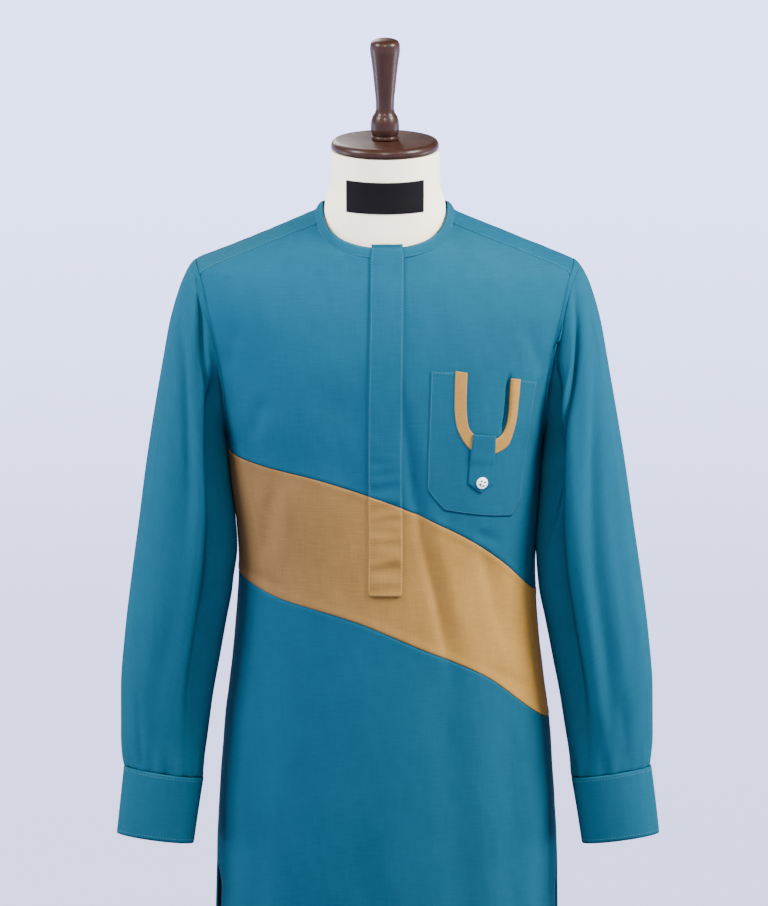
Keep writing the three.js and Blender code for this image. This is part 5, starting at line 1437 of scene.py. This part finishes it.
@dataclass
class Stitching:
    """Stitches along seams, made with geometry nodes and kept as one plain mesh.

    Attributes:
        name: the object's name.
        seams: the lines that the thread follows.
        slot: the name of a material slot; nothing reads it.
        pitch: from one stitch to the next, in millimetres.
        length: a stitch's length.
        thickness: the thread's thickness.
    """

    name: str
    seams: list[Seam]
    slot: str
    pitch: float = 3.7
    length: float = 2.0
    thickness: float = 0.6

    def places(self) -> tuple[Array, Array, Array]:
        """The stitches' middles, directions and outward directions."""
        middles, alongs, outs = [], [], []
        for seam in self.seams:
            count = max(2, int(np.linalg.norm(np.diff(seam.points, axis=0), axis=1).sum() / self.pitch) + 1)
            both = spread(np.concatenate([seam.points, seam.outward], axis=1), 4 * count)
            even = spread(both[:, :3], count)
            coarse, fine = np.linspace(0, 1, count), np.linspace(0, 1, 4 * count)
            out = np.stack([np.interp(coarse, fine, both[:, i]) for i in (3, 4, 5)], axis=1)
            middles.append((even[:-1] + even[1:]) / 2)
            alongs.append(unit(np.diff(even, axis=0)))
            outs.append(unit(out[:-1] + out[1:]))
        return np.concatenate(middles), np.concatenate(alongs), np.concatenate(outs)

    def build(self, material: bpy.types.Material) -> None:
        """Makes the mesh of all stitches."""
        middles, alongs, outs = self.places()
        mesh = bpy.data.meshes.new(f"{self.name}_places")
        mesh.vertices.add(len(middles))
        mesh.vertices.foreach_set("co", (middles * MM).astype(np.float32).ravel())
        for key, values in (("along", alongs), ("outward", outs)):
            attribute = mesh.attributes.new(key, "FLOAT_VECTOR", "POINT")
            attribute.data.foreach_set("vector", values.astype(np.float32).ravel())
        carrier = new_object(f"{self.name}_places", mesh)
        modifier = carrier.modifiers.new("stitches", "NODES")
        modifier.node_group = self.nodes()
        sockets = {item.name: item.identifier for item in modifier.node_group.interface.items_tree
                   if item.item_type == "SOCKET" and item.in_out == "INPUT"}
        values = {"Length": self.length * MM, "Thickness": self.thickness * MM, "Thread": material, "Seed": 3}
        for name, value in values.items():
            modifier[sockets[name]] = value
        bpy.context.view_layer.update()
        graph = bpy.context.evaluated_depsgraph_get()
        plain = bpy.data.meshes.new_from_object(carrier.evaluated_get(graph))
        bpy.data.objects.remove(carrier)
        made = new_object(self.name, plain)
        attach(made, "root")
        LOG.info("%s: %d stitches, %d faces", self.name, len(middles), len(plain.polygons))

    def nodes(self) -> bpy.types.NodeTree:
        """The geometry nodes that set one stitch on every point."""
        tree = bpy.data.node_groups.new(f"{self.name}_nodes", "GeometryNodeTree")
        for name, kind in (("Geometry", "NodeSocketGeometry"), ("Length", "NodeSocketFloat"),
                           ("Thickness", "NodeSocketFloat"), ("Thread", "NodeSocketMaterial"),
                           ("Seed", "NodeSocketInt")):
            tree.interface.new_socket(name, in_out="INPUT", socket_type=kind)
        tree.interface.new_socket("Geometry", in_out="OUTPUT", socket_type="NodeSocketGeometry")

        def add(kind: str, settings: dict | None = None, **links) -> bpy.types.Node:
            node = tree.nodes.new(kind)
            for key, value in (settings or {}).items():
                setattr(node, key, value)
            for key, value in links.items():
                socket = node.inputs[key.replace("_", " ")]
                if isinstance(value, bpy.types.NodeSocket):
                    tree.links.new(value, socket)
                else:
                    socket.default_value = value
            return node

        given = add("NodeGroupInput").outputs
        ball = add("GeometryNodeMeshUVSphere", None, Segments=6, Rings=4, Radius=0.5)
        size = add("ShaderNodeCombineXYZ", None, X=given["Length"], Y=given["Thickness"], Z=given["Thickness"])
        shaped = add("GeometryNodeTransform", None, Geometry=ball.outputs[0], Scale=size.outputs[0])
        along = add("GeometryNodeInputNamedAttribute", {"data_type": "FLOAT_VECTOR"}, Name="along")
        out = add("GeometryNodeInputNamedAttribute", {"data_type": "FLOAT_VECTOR"}, Name="outward")
        first = add("FunctionNodeAlignRotationToVector", {"axis": "X"}, Vector=along.outputs["Attribute"])
        second = add("FunctionNodeAlignRotationToVector", {"axis": "Z", "pivot_axis": "X"},
                     Rotation=first.outputs[0], Vector=out.outputs["Attribute"])
        vary = tree.nodes.new("FunctionNodeRandomValue")
        vary.data_type = "FLOAT"
        scalars = [socket for socket in vary.inputs if socket.type == "VALUE"]
        scalars[0].default_value, scalars[1].default_value = 0.88, 1.08
        tree.links.new(given["Seed"], vary.inputs["Seed"])
        spots = add("GeometryNodeInstanceOnPoints", None, Points=given["Geometry"], Instance=shaped.outputs[0],
                    Rotation=second.outputs[0],
                    Scale=next(socket for socket in vary.outputs if socket.type == "VALUE"))
        real = add("GeometryNodeRealizeInstances", None, Geometry=spots.outputs[0])
        smooth = add("GeometryNodeSetShadeSmooth", None, Geometry=real.outputs[0])
        painted = add("GeometryNodeSetMaterial", None, Geometry=smooth.outputs[0], Material=given["Thread"])
        add("NodeGroupOutput", None, Geometry=painted.outputs[0])
        return tree


def lathe_points(outline: tuple, turns: int) -> Array:
    """Rings of points about the z axis from an outline of radius and height."""
    table = np.array(outline, float)
    angle = np.linspace(0, 2 * np.pi, turns, endpoint=False)
    circle = np.stack([np.cos(angle), np.sin(angle)], axis=-1)
    flat = table[:, None, :1] * circle[None]
    return np.concatenate([flat, np.broadcast_to(table[:, 1, None, None], (*flat.shape[:2], 1))], axis=-1)


def ring_faces(rings: int, turns: int, start: int = 0) -> Array:
    """Quads between rings of points, facing outwards where the rings run up."""
    index = start + np.arange(rings * turns).reshape(rings, turns)
    index = np.concatenate([index, index[:, :1]], axis=1)
    corners = [index[:-1, :-1], index[:-1, 1:], index[1:, 1:], index[1:, :-1]]
    return np.stack(corners, axis=-1).reshape(-1, 4)


def join_lathes(
    name: str,
    solids: list[Array],
    turns: tuple[int, ...],
    axes: Array,
    centre: Array,
    material: bpy.types.Material,
) -> bpy.types.Object:
    """Joins turned shapes into one mesh, turned to new axes and moved to a centre."""
    vertices, faces, start = [], [], 0
    for rings, count in zip(solids, turns):
        faces.append(ring_faces(len(rings), count, start))
        vertices.append(rings.reshape(-1, 3) @ axes + centre)
        start += rings.shape[0] * rings.shape[1]
    made = make_mesh(name, np.concatenate(vertices), np.concatenate(faces), material)
    made.data.polygons.foreach_set("use_smooth", [False] * len(made.data.polygons))
    return made


@dataclass
class Turned:
    """A turned piece about the pole's axis.

    Attributes:
        node: the CAD node it stands for.
        outline: radius and height rows, from the axis out and back to it, in millimetres.
        slot: the name of its finish; nothing reads it.
        turns: points round it.
        soft: whether the outline is a smooth curve through its rows.
    """

    node: str
    outline: tuple
    slot: str
    turns: int = 96
    soft: bool = False

    def build(self, material: bpy.types.Material) -> None:
        """Makes the piece."""
        table = np.array(self.outline, float)
        if self.soft:
            run = np.arange(len(table))
            fine = np.linspace(0, len(table) - 1, 6 * (len(table) - 1) + 1)
            table = np.stack([Profile(run, table[:, i])(fine) for i in (0, 1)], axis=-1)
        rings = lathe_points(table, self.turns)
        vertices = rings.reshape(-1, 3)
        made = make_mesh(f"{self.node}_turned", vertices, ring_faces(len(rings), self.turns), material)
        tidy_poles(made)
        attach(made, "root")
        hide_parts(self.node)


def tidy_poles(made: bpy.types.Object) -> None:
    """Joins the points that lie together on the axis and shades sharp edges sharply."""
    import bmesh

    work = bmesh.new()
    work.from_mesh(made.data)
    bmesh.ops.remove_doubles(work, verts=work.verts, dist=1e-6)
    bmesh.ops.recalc_face_normals(work, faces=work.faces)
    for edge in work.edges:
        if len(edge.link_faces) == 2 and edge.calc_face_angle(0) > math.radians(38):
            edge.smooth = False
    work.to_mesh(made.data)
    work.free()


@dataclass
class DressForm:
    """The form that the cloth rests on, with its label, neck cap, finial, pole and foot."""

    body: Body
    finishes: Finishes

    def oval(self, section: Array, turn: Array, square: float | Array) -> Array:
        """Points on a level section, by their turn from the middle of the front."""
        sine, cosine = sine_cosine(turn)
        power = 2 / np.asarray(square)
        depth = np.where(cosine > 0, section[..., 2], section[..., 3])
        x = section[..., 1] * signed_power(sine, power)
        y = -depth * signed_power(cosine, power)
        return np.stack(np.broadcast_arrays(x, y, section[..., 0]), axis=-1)

    def stack(self, sections: Array, squares: Array, turns: int) -> tuple[Array, Array]:
        """A closed body through level sections."""
        turn = np.linspace(0, 360, turns, endpoint=False)
        rings = self.oval(sections[:, None, :], turn[None], squares[:, None])
        low, high = rings[:1].mean(axis=1, keepdims=True), rings[-1:].mean(axis=1, keepdims=True)
        rings = np.concatenate([np.repeat(low, turns, axis=1), rings, np.repeat(high, turns, axis=1)])
        return rings.reshape(-1, 3), ring_faces(len(rings), turns)

    def build(self) -> None:
        """Makes the form and its stand."""
        table = np.array(FORM_SECTIONS, float)
        shoulder = []
        for z in np.arange(1404.0, 1457.0, 4.0):
            cloth = z + 2.5
            half = min(float(self.body.half(cloth)), 209 - 0.06 * (z - 1404))
            front, back = float(self.body.front(cloth)) - 6, float(self.body.back(cloth)) - 17
            shoulder.append((z, half, front, back, float(self.body.square(cloth))))
        shoulder = np.array(shoulder)
        places = np.concatenate([np.linspace(786, 790, 3), np.linspace(795, 1388, 100)])
        sides = [Profile(table[:, 0], table[:, i])(places) for i in (1, 2, 3)]
        lower = np.stack([places, *sides], axis=-1)
        torso = np.concatenate([lower, shoulder[:, :4]])
        squares = np.concatenate([np.full(len(lower), TORSO_SQUARE), shoulder[:, 4]])
        neck_table = np.array(FORM_NECK, float)
        heights = np.linspace(1400, 1548, 60)
        reads = [Profile(neck_table[:, 0], neck_table[:, i]) for i in (1, 2, 3)]
        neck = np.stack([heights, *(read(heights) for read in reads)], axis=-1)
        neck_squares = np.full(len(neck), FORM_NECK_SQUARE)
        parts = [self.stack(torso, squares, FORM_TURNS), self.stack(neck, neck_squares, FORM_TURNS)]
        vertices = np.concatenate([parts[0][0], parts[1][0]])
        faces = np.concatenate([parts[0][1], parts[1][1] + len(parts[0][0])])
        made = make_mesh("form_cover", vertices, faces, self.finishes.jersey)
        tidy_poles(made)
        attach(made, "root")
        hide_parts("form_body")
        self.label(reads)
        for node, outline, slot, turns in STAND:
            Turned(node, outline, slot, turns, node == "finial").build(getattr(self.finishes, slot))

    def label(self, reads: list[Profile]) -> None:
        """Makes the bare black patch on the front of the neck."""
        reach = np.linspace(-LABEL_HALF, LABEL_HALF, 61)
        heights = np.linspace(*LABEL_HEIGHTS, 21)
        section = np.stack([heights, *(read(heights) for read in reads)], axis=-1)
        share = (np.abs(reach)[None] / section[:, 1:2]) ** (FORM_NECK_SQUARE / 2)
        turns = np.sign(reach) * np.degrees(np.arcsin(share))
        rows = self.oval(section[:, None, :], turns, FORM_NECK_SQUARE)
        cloth = np.stack([turns * 1.13, np.broadcast_to(heights[:, None], turns.shape)], axis=-1)
        sheet = Sheet(rows, cloth.copy(), LABEL_THICKNESS).moved(LABEL_RISE)
        made = sheet.build("form_label_patch", self.finishes.label)
        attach(made, "root")
        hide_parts("form_label")
        sheet.declare(made, "stretched", ("form_body",))


@dataclass
class Studio:
    """Camera, lights and floor.

    Attributes:
        target: the point in the middle of the picture, in metres.
        elevation: the camera's height above it, in degrees.
        distance: from the target to the camera.
        height: what the picture shows from top to bottom, at the target.
    """

    finishes: Finishes
    target: tuple[float, float, float] = (-0.0012, 0.0, 1.1745)
    elevation: float = 12.7
    distance: float = 25.0
    height: float = 1.0911

    def build(self) -> None:
        """Makes the studio."""
        tilt = math.radians(self.elevation)
        camera = new_object("camera", bpy.data.cameras.new("camera"))
        camera.data.lens = SENSOR * self.distance / self.height
        camera.data.clip_end = CAMERA_FAR
        x, y, z = self.target
        camera.location = (x, y - self.distance * math.cos(tilt), z + self.distance * math.sin(tilt))
        camera.rotation_euler = (math.pi / 2 - tilt, 0, 0)
        bpy.context.scene.camera = camera
        for row in LIGHTS:
            self.light(*row)
        world = bpy.data.worlds.new("room")
        world.use_nodes = True
        back = world.node_tree.nodes["Background"]
        back.inputs["Color"].default_value = ROOM_COLOUR
        back.inputs["Strength"].default_value = ROOM_STRENGTH
        bpy.context.scene.world = world
        mesh = bpy.data.meshes.new("floor")
        corners = [(x * FLOOR_REACH, y * FLOOR_REACH, 0) for x, y in SQUARE_CORNERS]
        mesh.from_pydata(corners, [], [(0, 1, 2, 3)])
        mesh.materials.append(self.finishes.paper)
        floor = new_object("floor", mesh)
        floor.location.z = -FLOOR_DROP
        floor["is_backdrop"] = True

    def light(
        self, name: str, place: Place, aim: Place, size: float, power: float, colour: Place
    ) -> None:
        """Adds one soft square light, aimed at a point."""
        data = bpy.data.lights.new(name, "AREA")
        data.size, data.energy, data.color = size, power, colour
        lamp = new_object(name, data)
        lamp.location = place
        way = unit(np.array(aim) - np.array(place))
        flat = math.hypot(way[0], way[1])
        lamp.rotation_euler = (math.atan2(flat, -way[2]), 0, math.atan2(-way[0], way[1]))
        lamp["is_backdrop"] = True


def main() -> None:
    """Builds the scene in order."""
    logging.basicConfig(level=logging.INFO, format="%(name)s: %(message)s")
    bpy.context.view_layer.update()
    finishes = Finishes.make()
    body = Body()
    Kaftan(Drape(body), finishes).build()
    DressForm(body, finishes).build()
    Studio(finishes).build()
    bpy.context.view_layer.update()
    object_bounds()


if __name__ == "__main__":
    main()
